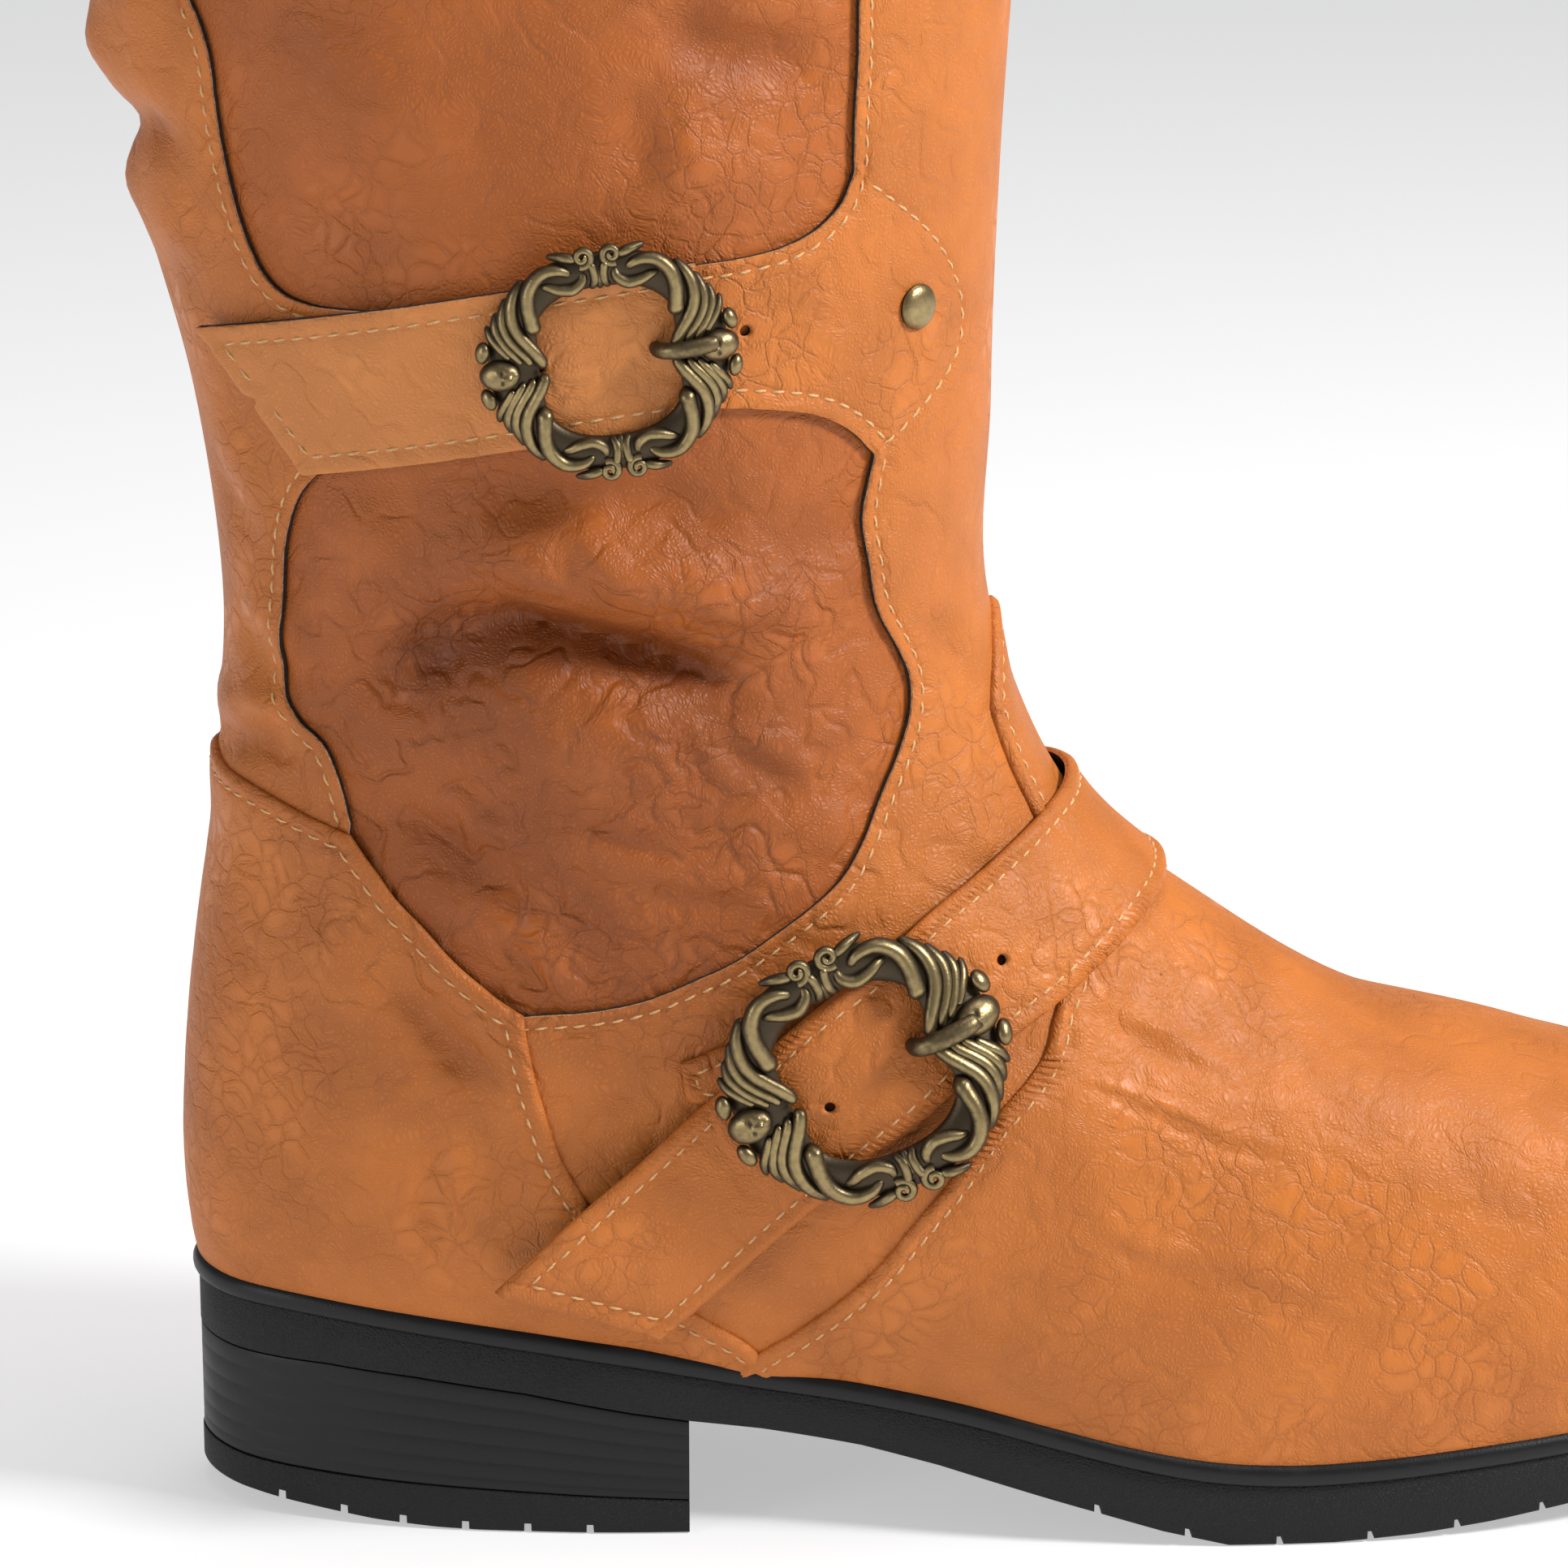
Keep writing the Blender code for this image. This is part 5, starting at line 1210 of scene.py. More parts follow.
@dataclass
class MeshParts:
    """Collects closed forms into one piece, with how worn each corner is."""

    points: list[np.ndarray] = field(default_factory=list)
    faces: list[tuple[int, ...]] = field(default_factory=list)
    worn: list[np.ndarray] = field(default_factory=list)
    count: int = 0

    def add_rings(self, rings: np.ndarray, worn: np.ndarray, closed: bool = False) -> None:
        """Add a tube given as rings of corners, with a cap on each end unless it is closed."""
        rows, columns = rings.shape[:2]
        self.faces += ring_quads(rows, columns, closed, self.count)
        if not closed:
            self.faces.append(tuple(self.count + i for i in reversed(range(columns))))
            self.faces.append(tuple(self.count + (rows - 1) * columns + i for i in range(columns)))
        self.points.append(rings.reshape(-1, 3))
        self.worn.append(np.broadcast_to(worn, rings.shape[:2]).ravel())
        self.count += rows * columns

    def piece(self, name: str, smooth_angle: float = 60.0) -> bpy.types.Object:
        """Return everything collected as one piece."""
        made = new_piece(name, np.concatenate(self.points), self.faces, smooth_angle)
        close_normals(made)
        set_worn(made, np.concatenate(self.worn))
        return made


# Strands of a quarter of the ring. Each row: degrees from the head, side of the band from its
# inner edge (-1) to its outer edge (1), height and thickness in mm
CROSSING = (
    (74, 0.00, 2.3, 0.60), (68, 0.48, 2.8, 0.85), (60, 0.72, 3.0, 1.0), (51, 0.52, 3.3, 1.08),
    (43, 0.02, 3.4, 1.12), (36, -0.48, 3.2, 1.18), (30, -0.74, 2.8, 1.18), (26.5, -0.80, 2.3, 0.85)
)
HOOK = (
    (81, 0.20, 2.2, 0.55), (79.5, -0.30, 2.6, 0.80), (72, -0.62, 2.8, 0.92), (64, -0.40, 2.8, 0.90),
    (57.5, 0.06, 2.5, 0.70), (54, 0.22, 2.2, 0.45)
)
OUTER_LOCK = (
    (51, 0.92, 1.9, 0.55), (43, 0.80, 2.5, 0.85), (35, 0.50, 2.9, 1.0), (27, 0.02, 3.1, 1.02),
    (19, -0.48, 3.1, 1.0), (11, -0.84, 2.9, 0.95), (5, -0.98, 2.7, 0.80), (1.5, -0.92, 2.6, 0.55)
)
LOCKS = (
    (
        (40, 0.98, 1.8, 0.45), (33, 0.84, 2.4, 0.72), (25, 0.44, 2.9, 0.80), (17, -0.06, 3.1, 0.80),
        (10, -0.45, 3.0, 0.74), (4.5, -0.62, 2.9, 0.50)
    ),
    (
        (32, 1.05, 1.8, 0.42), (26, 0.84, 2.5, 0.66), (18.5, 0.40, 3.0, 0.72), (11.5, -0.02, 3.2, 0.68),
        (6, -0.28, 3.1, 0.45)
    ),
    ((25, 1.10, 1.9, 0.40), (20.5, 0.86, 2.6, 0.60), (15, 0.46, 3.1, 0.64), (9.5, 0.14, 3.3, 0.45)),
)
LEAF = ((79, 0.70, 2.6, 0.60), (74, 0.92, 2.6, 0.78), (69, 1.12, 2.2, 0.62), (65.5, 1.26, 1.8, 0.32))
STEM = ((84, -0.86, 2.0, 0.45), (87, -0.45, 2.5, 0.72), (87, 0.05, 2.8, 0.70), (85.5, 0.50, 3.0, 0.60))
WEDGE = ((90, 0.35, 2.2, 0.55), (90, -0.25, 2.5, 0.62), (90, -0.90, 2.1, 0.40))


@dataclass
class Buckle:
    """A cast ring of twining strands, with two small heads, scrolls and a prong."""

    name: str
    place: Place
    toward: Place
    scale: float
    floor: float
    prong_turn: float = 0.0
    half_line: float = 16.3 * MM
    band: float = 3.6 * MM
    head_band: float = 4.9 * MM
    sides: int = 10

    def __post_init__(self) -> None:
        """Set the frame that the ring lies in."""
        self.frame = LocalFrame(self.place, self.toward, 26 * MM * self.scale)

    def centre_line(self, angle: np.ndarray) -> np.ndarray:
        """Return the ring's middle line, close to a rounded square."""
        c, s = np.cos(angle), np.sin(angle)
        radius = 1 / (np.abs(c) ** 2.4 + np.abs(s) ** 2.4) ** (1 / 2.4)
        return np.stack([radius * c, radius * s], axis=-1) * self.half_line

    def spot(self, degrees: np.ndarray, side: np.ndarray) -> np.ndarray:
        """Return a point of the band by its angle and its side."""
        angle = np.radians(degrees)
        middle = self.centre_line(angle)
        along = self.centre_line(angle + 0.01) - self.centre_line(angle - 0.01)
        along /= np.linalg.norm(along, axis=-1, keepdims=True)
        out = np.stack([along[..., 1], -along[..., 0]], axis=-1)
        half = self.band + (self.head_band - self.band) * soft_step(0.82, 0.97, np.abs(np.cos(angle)))
        return middle + out * (np.asarray(side) * half)[..., None]

    def tube(
        self, parts: MeshParts, flat: np.ndarray, height: np.ndarray, radius: np.ndarray, wear: float = 1.0
    ) -> None:
        """Add a round strand along a flat path."""
        turn = np.arange(self.sides) * 2 * math.pi / self.sides
        along = np.gradient(flat, axis=0)
        along /= np.maximum(np.linalg.norm(along, axis=1, keepdims=True), 1e-12)
        out = np.stack([along[:, 1], -along[:, 0]], axis=1)
        spot = flat[:, None] + out[:, None] * (np.cos(turn)[None, :, None] * radius[:, None, None])
        rise = height[:, None] + np.sin(turn)[None, :] * radius[:, None] * 1.05
        rings = self.frame.points(
            spot[..., 0] * self.scale, spot[..., 1] * self.scale, rise * self.scale + self.floor
        )
        worn = soft_step(0.25, 1.0, np.sin(turn))[None, :] * soft_step(1.9 * MM, 3.9 * MM, rise) * wear
        parts.add_rings(rings, worn)

    def strand(
        self, parts: MeshParts, rows: Sequence[Sequence[float]], quarter: int, wear: float = 1.0
    ) -> None:
        """Add a strand on one of the ring's four quarters, with rounded ends."""
        table = np.array(rows, float)
        knots = np.concatenate(
            [[0.0], np.cumsum(np.hypot(np.diff(table[:, 0]) * 0.3, np.diff(table[:, 1]) * 4.1))]
        )
        at = np.linspace(0, knots[-1], 8 + 4 * len(table))
        degrees, side, height, radius = smooth_curve(knots, table, at).T
        degrees = (degrees, 180 - degrees, 180 + degrees, 360 - degrees)[quarter]
        flat = self.spot(degrees, side)
        lengths = np.concatenate([[0.0], np.cumsum(np.linalg.norm(np.diff(flat, axis=0), axis=1))])
        tip = np.minimum(lengths, lengths[-1] - lengths)
        radius = radius * 1.22 * MM
        radius = radius * np.sqrt(
            np.clip(1 - (1 - np.clip(tip / np.maximum(radius, 1e-6), 0, 1)) ** 2, 0.04, 1)
        )
        self.tube(parts, flat, height * MM, radius, wear)

    def scroll(self, parts: MeshParts, quarter: int) -> None:
        """Add a small spiral at the side of the ring."""
        sign_a = (1, -1, -1, 1)[quarter]
        sign_b = (1, 1, -1, -1)[quarter]
        middle = self.spot(np.array([82.0]), np.array([0.78]))[0]
        turn = np.linspace(0, 2 * math.pi * 1.45, 34)
        reach = np.interp(turn, (0, turn[-1]), (1.75 * MM, 0.30 * MM))
        angle = -math.pi * 0.62 + turn
        flat = middle + np.stack([-np.cos(angle), np.sin(angle)], axis=1) * reach[:, None]
        flat = flat * np.array((sign_a, sign_b))
        height = np.interp(turn, (0, turn[-1]), (2.7 * MM, 3.2 * MM))
        radius = np.interp(turn, (0, turn[-1]), (0.80 * MM, 0.50 * MM))
        radius[-1] *= 0.4
        self.tube(parts, flat, height, radius)

    def ball(
        self, parts: MeshParts, spot: np.ndarray, size: tuple[float, float, float], height: float,
        turned: float, face: bool = False
    ) -> None:
        """Add a rounded form: a head with a calm, plain face, or a lobe of hair beside it."""
        longitude = np.linspace(0, 2 * math.pi, 36 if face else 18, endpoint=False)
        latitude = np.linspace(-1.52, 1.52, 28 if face else 12)
        lon, lat = np.meshgrid(longitude, latitude)
        x, y, z = np.cos(lat) * np.cos(lon), np.cos(lat) * np.sin(lon), np.sin(lat)
        swell = np.zeros(x.shape)
        if face:
            front = soft_step(0.0, 0.5, z)
            for row, column, tall, wide, rise in (
                (0.10, 0.34, 0.10, 0.20, 0.07), (
                    -0.06, 0.33, 0.11, 0.16, -0.13
                ), (-0.07, 0.33, 0.06, 0.09, 0.07),
                (-0.28, 0.0, 0.24, 0.10, 0.20), (-0.44, 0.0, 0.07, 0.15, 0.06), (
                    -0.36, 0.42, 0.18, 0.18, 0.06
                ),
                (
                    -0.60, 0.0, 0.035, 0.22, -0.09
                ), (-0.67, 0.0, 0.05, 0.15, 0.05), (-0.82, 0.0, 0.10, 0.18, 0.07),
            ):
                swell += rise * front * np.exp(-(((x - row) / tall) ** 2)) * (
                    bell(y, column, wide) + (bell(y, -column, wide) if column else 0.0)
                )
        grow = 1 + swell
        a, b = x * size[0] * grow, y * size[1] * grow
        c, s = math.cos(turned), math.sin(turned)
        flat = spot + np.stack([a * c - b * s, a * s + b * c], axis=-1)
        rise = height + z * size[2] * (grow if face else 1)
        rings = self.frame.points(
            flat[..., 0] * self.scale, flat[..., 1] * self.scale, rise * self.scale + self.floor
        )
        worn = soft_step(0.1, 0.85, z) * (1 - soft_step(0.0, 0.08, -swell)) * 0.9
        parts.add_rings(rings, worn)

    def ring(self) -> bpy.types.Object:
        """Return the ring with everything cast on it."""
        parts = MeshParts()
        angle = np.linspace(0, 360, 96, endpoint=False)
        turn = np.arange(12) * 2 * math.pi / 12
        inner, outer = self.spot(angle, np.full(96, -0.86)), self.spot(angle, np.full(96, 0.86))
        middle, half = (inner + outer) / 2, (outer - inner) / 2
        flat = middle[:, None] + half[:, None] * np.cos(turn)[None, :, None]
        rise = 1.5 * MM + np.sin(turn) * 1.45 * MM
        rings = self.frame.points(
            flat[..., 0] * self.scale, flat[..., 1] * self.scale,
            np.broadcast_to(rise * self.scale + self.floor, flat.shape[:2])
        )
        parts.add_rings(rings, np.full((96, 12), 0.12), closed=True)
        for quarter in range(4):
            for rows in (CROSSING, HOOK, OUTER_LOCK, *LOCKS, LEAF, STEM):
                self.strand(parts, rows, quarter)
            self.scroll(parts, quarter)
        for degrees in (0.0, 180.0):
            self.strand(parts, [(row[0] + degrees, *row[1:]) for row in WEDGE], 0)
            facing = 0.0 if degrees == 0 else math.pi
            self.ball(
                parts, self.spot(np.array([degrees]), np.array([0.52]))[0], (3.5 * MM, 2.75 * MM, 2.3 * MM),
                3.1 * MM, facing, True
            )
            for side in (-1, 1):
                lobe = self.spot(np.array([degrees + side * 12.5]), np.array([1.06]))[0]
                self.ball(parts, lobe, (1.25 * MM, 2.0 * MM, 1.35 * MM), 2.9 * MM, facing + side * 0.25)
        return parts.piece(f"{self.name}_ring")

    def prong(self) -> bpy.types.Object:
        """Return the prong, from the chin of the forward head to its hole in the strap."""
        table = np.array((
            (
                18.6, 5.15, 1.20
            ), (17.2, 5.25, 1.45), (15.0, 5.10, 1.50), (12.4, 4.60, 1.48), (10.4, 3.70, 1.46),
            (9.0, 2.50, 1.42), (8.2, 1.10, 1.34), (7.9, -0.4, 1.20),
        )) * MM
        at = np.linspace(0, 1, 26)
        along, height, radius = smooth_curve(np.linspace(0, 1, len(table)), table, at).T
        turn = np.arange(14) * 2 * math.pi / 14
        drop = np.gradient(np.stack([along, height], axis=1), axis=0)
        drop /= np.linalg.norm(drop, axis=1, keepdims=True)
        up = np.stack([drop[:, 1], -drop[:, 0]], axis=1)
        radius[0] *= 0.72
        a = along[:, None] + up[:, 0][:, None] * np.sin(turn) * radius[:, None] * 0.86
        h = height[:, None] + up[:, 1][:, None] * np.sin(turn) * radius[:, None] * 0.86
        b = np.cos(turn)[None, :] * radius[:, None] + along[:, None] * self.prong_turn
        rings = self.frame.points(a * self.scale, b * self.scale, h * self.scale + self.floor)
        parts = MeshParts()
        worn = 0.15 + 0.55 * soft_step(
            -0.2, 1.0, np.abs(np.sin(turn))
        )[None, :] * soft_step(1.5 * MM, 4.0 * MM, h)
        parts.add_rings(rings, worn)
        return parts.piece(f"{self.name}_prong", 75)


@dataclass
class Rivet:
    """The domed cap that pins the strap's base."""

    place: Place = (0.407, 0.642)
    radius: float = 4.1 * MM
    base: float = 1.55 * MM

    def build(self) -> bpy.types.Object:
        """Return the cap, raised from a disc by extruding and shrinking its face."""
        bpy.ops.object.select_all(action="DESELECT")
        bpy.ops.mesh.primitive_cylinder_add(
            vertices=48, radius=self.radius * 0.96, depth=0.5 * MM, location=(0, 0, 0.25 * MM)
        )
        cap = bpy.context.object
        cap.name = cap.data.name = "rivet_cap"
        bpy.ops.object.mode_set(mode="EDIT")
        bpy.ops.mesh.select_all(action="DESELECT")
        bpy.ops.object.mode_set(mode="OBJECT")
        for face in cap.data.polygons:
            face.select = face.normal.z > 0.9
        bpy.ops.object.mode_set(mode="EDIT")
        width = 0.96
        for share, rise in (
            (1.0, 0.22), (0.985, 0.20), (0.90, 0.42), (0.74, 0.38), (0.52, 0.26), (0.26, 0.12)
        ):
            bpy.ops.mesh.extrude_region_move(TRANSFORM_OT_translate={"value": (0, 0, rise * MM)})
            bpy.ops.transform.resize(value=(share / width, share / width, 1), center_override=(0, 0, 0))
            width = share
        bpy.ops.object.mode_set(mode="OBJECT")
        set_worn(cap, [0.55 + 0.45 * max(0.0, min(1.0, v.co.z / (1.6 * MM))) for v in cap.data.vertices])
        around, up = self.place
        normal = Vector(FORM.outward(around, up)[0])
        spot = Vector(FORM.surface(around, up)[0]) + normal * self.base - Vector((FORM.origin_x, 0, 0))
        cap.data.transform(Matrix.Translation(spot) @ normal.to_track_quat("Z", "Y").to_matrix().to_4x4())
        cap.data.shade_smooth()
        return cap


# ---------------------------------------------------------------- sole

HEEL_GROOVES = (0.050, 0.088, 0.124, 0.162, 0.200, 0.238)
FOREFOOT_GROOVES = (0.545, 0.600, 0.656, 0.712, 0.766, 0.820, 0.874, 0.928)


@dataclass
class SoleSlice:
    """A slice of the sole: walls on the plan, top and underside on two lines."""

    name: str
    margin: float
    top: Callable[[np.ndarray], np.ndarray]
    under: Callable[[np.ndarray], np.ndarray]
    last: float | None = None
    grooves: tuple[float, ...] = ()
    lines: tuple[float, ...] = ()
    notch_width: float = 1.3 * MM
    notch_depth: float = 1.5 * MM
    edge: float = 0.35 * MM
    line_depth: float = 0.08 * MM

    def stations(self, first: float, last: float) -> np.ndarray:
        """Return the x of each section, dense at the rounded ends and at the grooves."""
        turn = np.linspace(0.0, math.pi if self.last is None else math.pi / 2, 110)
        spread = (1 - np.cos(turn)) / (2 if self.last is None else 1)
        extra = [
            share * FORM.sole_length + side * (
                self.notch_width / 2 + slip
            ) for share in self.grooves for side in (-1, 1) for slip in (-0.02 * MM, 0.02 * MM)
        ]
        extra += [row[0] * FORM.sole_length for row in SOLE_UNDERSIDE if self.last is None]
        found = np.sort(np.concatenate([first + (last - first) * spread, extra]))
        return np.clip(found, first, last)

    def build(self) -> bpy.types.Object:
        """Return the slice as closed sections, joined from heel to toe."""
        half = np.linspace(0.0, 0.5, 1500)

        def side(inset: float, inner: bool) -> np.ndarray:
            """Return one side's plan outline, from heel to toe."""
            return FORM.plan(1.0 - half if inner else half, self.margin - inset)

        whole = side(0.0, False)
        x = self.stations(whole[0, 0], whole[-1, 0] if self.last is None else self.last)
        top, under = self.top(x), self.under(x)
        for share in self.grooves:
            under = np.where(
                np.abs(x - share * FORM.sole_length) < self.notch_width / 2, under + self.notch_depth, under
            )
        tall = np.maximum(top - under, 0.1 * MM)
        rows: list[tuple[np.ndarray, float]] = [
            (top, self.edge), (top - self.edge * 0.3, self.edge * 0.3), (top - self.edge, 0.0)
        ]
        for share in self.lines:
            level = top - tall * share
            rows += [
                (level + 0.38 * MM, 0.0), (level + 0.12 * MM, self.line_depth),
                (level - 0.12 * MM, self.line_depth), (level - 0.38 * MM, 0.0)
            ]
        rows += [(under + self.edge, 0.0), (under + self.edge * 0.3, self.edge * 0.3), (under, self.edge)]
        walls = []
        for inner in (False, True):
            column = []
            for level, inset in rows:
                line = side(inset, inner)
                reached = np.clip(x, line[0, 0], line[-1, 0])
                column.append(np.stack([reached, np.interp(x, line[:, 0], line[:, 1]), level], axis=1))
            walls.append(np.stack(column, axis=1))
        outer, inner_wall = walls
        across = np.linspace(0, 1, 7)[1:-1]
        floor = outer[:, -1:, :] * (1 - across)[None, :, None] + inner_wall[:, -1:, :] * across[None, :, None]
        roof = inner_wall[:, :1, :] * (1 - across)[None, :, None] + outer[:, :1, :] * across[None, :, None]
        loops = np.concatenate([outer, floor, inner_wall[:, ::-1], roof], axis=1)
        count = loops.shape[1]
        faces: list[tuple[int, ...]] = list(ring_quads(len(loops), count))
        if self.last is not None:
            faces.append(tuple((len(loops) - 1) * count + i for i in reversed(range(count))))
        piece = new_piece(self.name, loops.reshape(-1, 3), faces, 32)
        close_normals(piece, 0.004 * MM)
        piece.data.set_sharp_from_angle(angle=math.radians(32))
        return piece


@dataclass
class Sole:
    """The rim, the outsole, the stacked heel with its top piece, and the insole."""

    rim_height: float = 4.4 * MM
    joint: float = 0.15 * MM
    insole_thickness: float = 3 * MM
    profile: tuple[tuple[float, float], ...] = (
        (-1.0, -4.4), (3.0, -4.4), (3.45, -4.15), (
            3.78, -3.5
        ), (3.92, -2.6), (3.85, -1.7), (3.5, -0.9), (2.9, -0.35), (2.1, -0.05), (1.2, 0.0), (-1.0, -0.2),
    )

    def rim(self) -> bpy.types.Object:
        """Return the rounded rim that stands round the upper's lower edge."""
        around = np.arange(320) / 320
        loops = []
        for margin, drop in self.profile:
            plan = FORM.plan(around, margin * MM)
            loops.append(np.column_stack([plan, FORM.rim_top(plan[:, 0]) + drop * MM]))
        piece = new_piece(
            "sole_rim_band", np.concatenate(loops), ring_quads(len(loops), 320, closed_rows=True), 60
        )
        close_normals(piece)
        return piece

    def outsole(self) -> bpy.types.Object:
        """Return the sole's plate with grooves across the forefoot."""
        return SoleSlice(
            "outsole_plate", 2.8 * MM, lambda x: FORM.rim_top(x) - self.rim_height - 0.1 * MM,
            FORM.sole_underside, grooves=FOREFOOT_GROOVES
        ).build()

    def heel(self) -> bpy.types.Object:
        """Return the heel's stack with the fine joints of its lifts."""

        def top(x: np.ndarray) -> np.ndarray:
            """Return the stack's top, just under the outsole."""
            return FORM.sole_underside(x) - self.joint

        def under(x: np.ndarray) -> np.ndarray:
            """Return the stack's underside, just over its top piece."""
            return FORM.top_piece_line(x) + self.joint

        return SoleSlice(
            "heel_stack", 2.7 * MM, top, under, FORM.heel_length, lines=(0.17, 0.36, 0.55, 0.73, 0.89)
        ).build()

    def top_piece(self) -> bpy.types.Object:
        """Return the grooved rubber under the heel."""
        return SoleSlice(
            "heel_tread", 2.9 * MM, FORM.top_piece_line, FORM.heel_underside, FORM.heel_length,
            grooves=HEEL_GROOVES
        ).build()

    def insole(self) -> bpy.types.Object:
        """Return the insole inside the upper."""

        def under(x: np.ndarray) -> np.ndarray:
            """Return the insole's underside, level with the rim's."""
            return FORM.rim_top(x) - self.rim_height

        return SoleSlice("insole_board", -3.2 * MM, lambda x: under(x) + self.insole_thickness, under).build()


# ---------------------------------------------------------------- finishes


class Wire:
    """A shader value or vector that can be used in sums."""

    def __init__(self, finish: "Finish", socket: bpy.types.NodeSocket | float) -> None:
        """Keep the socket and the finish that it belongs to."""
        self.finish = finish
        self.socket = socket

    def _math(self, kind: str, *values: "Wire | float") -> "Wire":
        """Return a Math node's result."""
        return self.finish.node("ShaderNodeMath", {"operation": kind}, dict(enumerate(values)))

    def __add__(self, other: "Wire | float") -> "Wire":
        """Return the sum."""
        return self._math("ADD", self, other)

    __radd__ = __add__

    def __sub__(self, other: "Wire | float") -> "Wire":
        """Return the difference."""
        return self._math("SUBTRACT", self, other)

    def __rsub__(self, other: float) -> "Wire":
        """Return the difference from a number."""
        return self._math("SUBTRACT", other, self)

    def __mul__(self, other: "Wire | float") -> "Wire":
        """Return the product."""
        return self._math("MULTIPLY", self, other)

    __rmul__ = __mul__

    def size(self) -> "Wire":
        """Return the value without its sign."""
        return self._math("ABSOLUTE", self)

    def ramp(self, low: float, high: float) -> "Wire":
        """Return a soft step from 0 at low to 1 at high."""
        return self.finish.node(
            "ShaderNodeMapRange", {"interpolation_type": "SMOOTHSTEP"},
            {"Value": self, "From Min": low, "From Max": high, "To Min": 0.0, "To Max": 1.0},
        )

    def blend(self, low: Sequence[float], high: Sequence[float]) -> "Wire":
        """Return a colour between two, with this as the share."""
        return self.finish.node("ShaderNodeMix", {"data_type": "RGBA"}, {0: self, 6: low, 7: high}, 2)


class Finish:
    """A material under construction."""

    def __init__(self, name: str) -> None:
        """Start a material with one surface shader."""
        self.material = bpy.data.materials.new(name)
        self.material.use_nodes = True
        self.tree = self.material.node_tree
        self.surface = next(node for node in self.tree.nodes if node.type == "BSDF_PRINCIPLED")

    def node(
        self, kind: str, settings: dict[str, object], inputs: dict[int | str, object], output: int | str = 0
    ) -> Wire:
        """Add a node.

        Args:
            kind: the node's type.
            settings: its properties, set first.
            inputs: values or wires for its sockets.
            output: which output to hand back.

        Returns:
            The chosen output.
        """
        made = self.tree.nodes.new(kind)
        for key, value in settings.items():
            setattr(made, key, value)
        for key, value in inputs.items():
            self.plug(made.inputs[key], value)
        return Wire(self, made.outputs[output])

    def plug(self, socket: bpy.types.NodeSocket, value: object) -> None:
        """Set a socket to a number or colour, or join a wire to it."""
        if isinstance(value, Wire):
            self.tree.links.new(value.socket, socket)
        elif isinstance(value, (tuple, list)) and socket.type == "RGBA" and len(value) == 3:
            socket.default_value = (*value, 1.0)
        else:
            socket.default_value = value

    def millimetres(self) -> Wire:
        """Return the place on the piece in millimetres."""
        place = self.node("ShaderNodeTexCoord", {}, {}, "Object")
        return self.node("ShaderNodeVectorMath", {"operation": "SCALE"}, {0: place, "Scale": 1000.0})

    def part(self, place: Wire, axis: str) -> Wire:
        """Return one of a place's three lengths."""
        return self.node("ShaderNodeSeparateXYZ", {}, {0: place}, axis)

    def noise(self, place: Wire, scale: float, detail: float = 2.0, roughness: float = 0.5) -> Wire:
        """Return a soft random value about 0.5."""
        return self.node(
            "ShaderNodeTexNoise", {},
            {"Vector": place, "Scale": scale, "Detail": detail, "Roughness": roughness}
        )

    def warped(self, place: Wire, scale: float, reach: float) -> Wire:
        """Return the place, moved about at random."""
        colour = self.node(
            "ShaderNodeTexNoise", {}, {"Vector": place, "Scale": scale, "Detail": 1.0}, "Color"
        )
        centred = self.node(
            "ShaderNodeVectorMath", {"operation": "SUBTRACT"}, {0: colour, 1: (0.5, 0.5, 0.5)}
        )
        return self.node(
            "ShaderNodeVectorMath", {"operation": "MULTIPLY_ADD"},
            {0: centred, 1: (reach, reach, reach), 2: place}
        )

    def cells(self, place: Wire, scale: float, spread: float = 1.0) -> Wire:
        """Return the distance to the nearest border between random cells."""
        return self.node(
            "ShaderNodeTexVoronoi", {"feature": "DISTANCE_TO_EDGE"},
            {"Vector": place, "Scale": scale, "Randomness": spread}
        )

    def dress(self, height: Wire | None = None, **inputs: object) -> bpy.types.Material:
        """Set the surface's sockets and, from a height in millimetres, its bump."""
        for key, value in inputs.items():
            self.plug(self.surface.inputs[key.replace("_", " ").title().replace("Ior", "IOR")], value)
        if height is not None:
            bump = self.node(
                "ShaderNodeBump", {}, {"Strength": 1.0, "Distance": MM, "Height": height}, "Normal"
            )
            self.plug(self.surface.inputs["Normal"], bump)
        return self.material


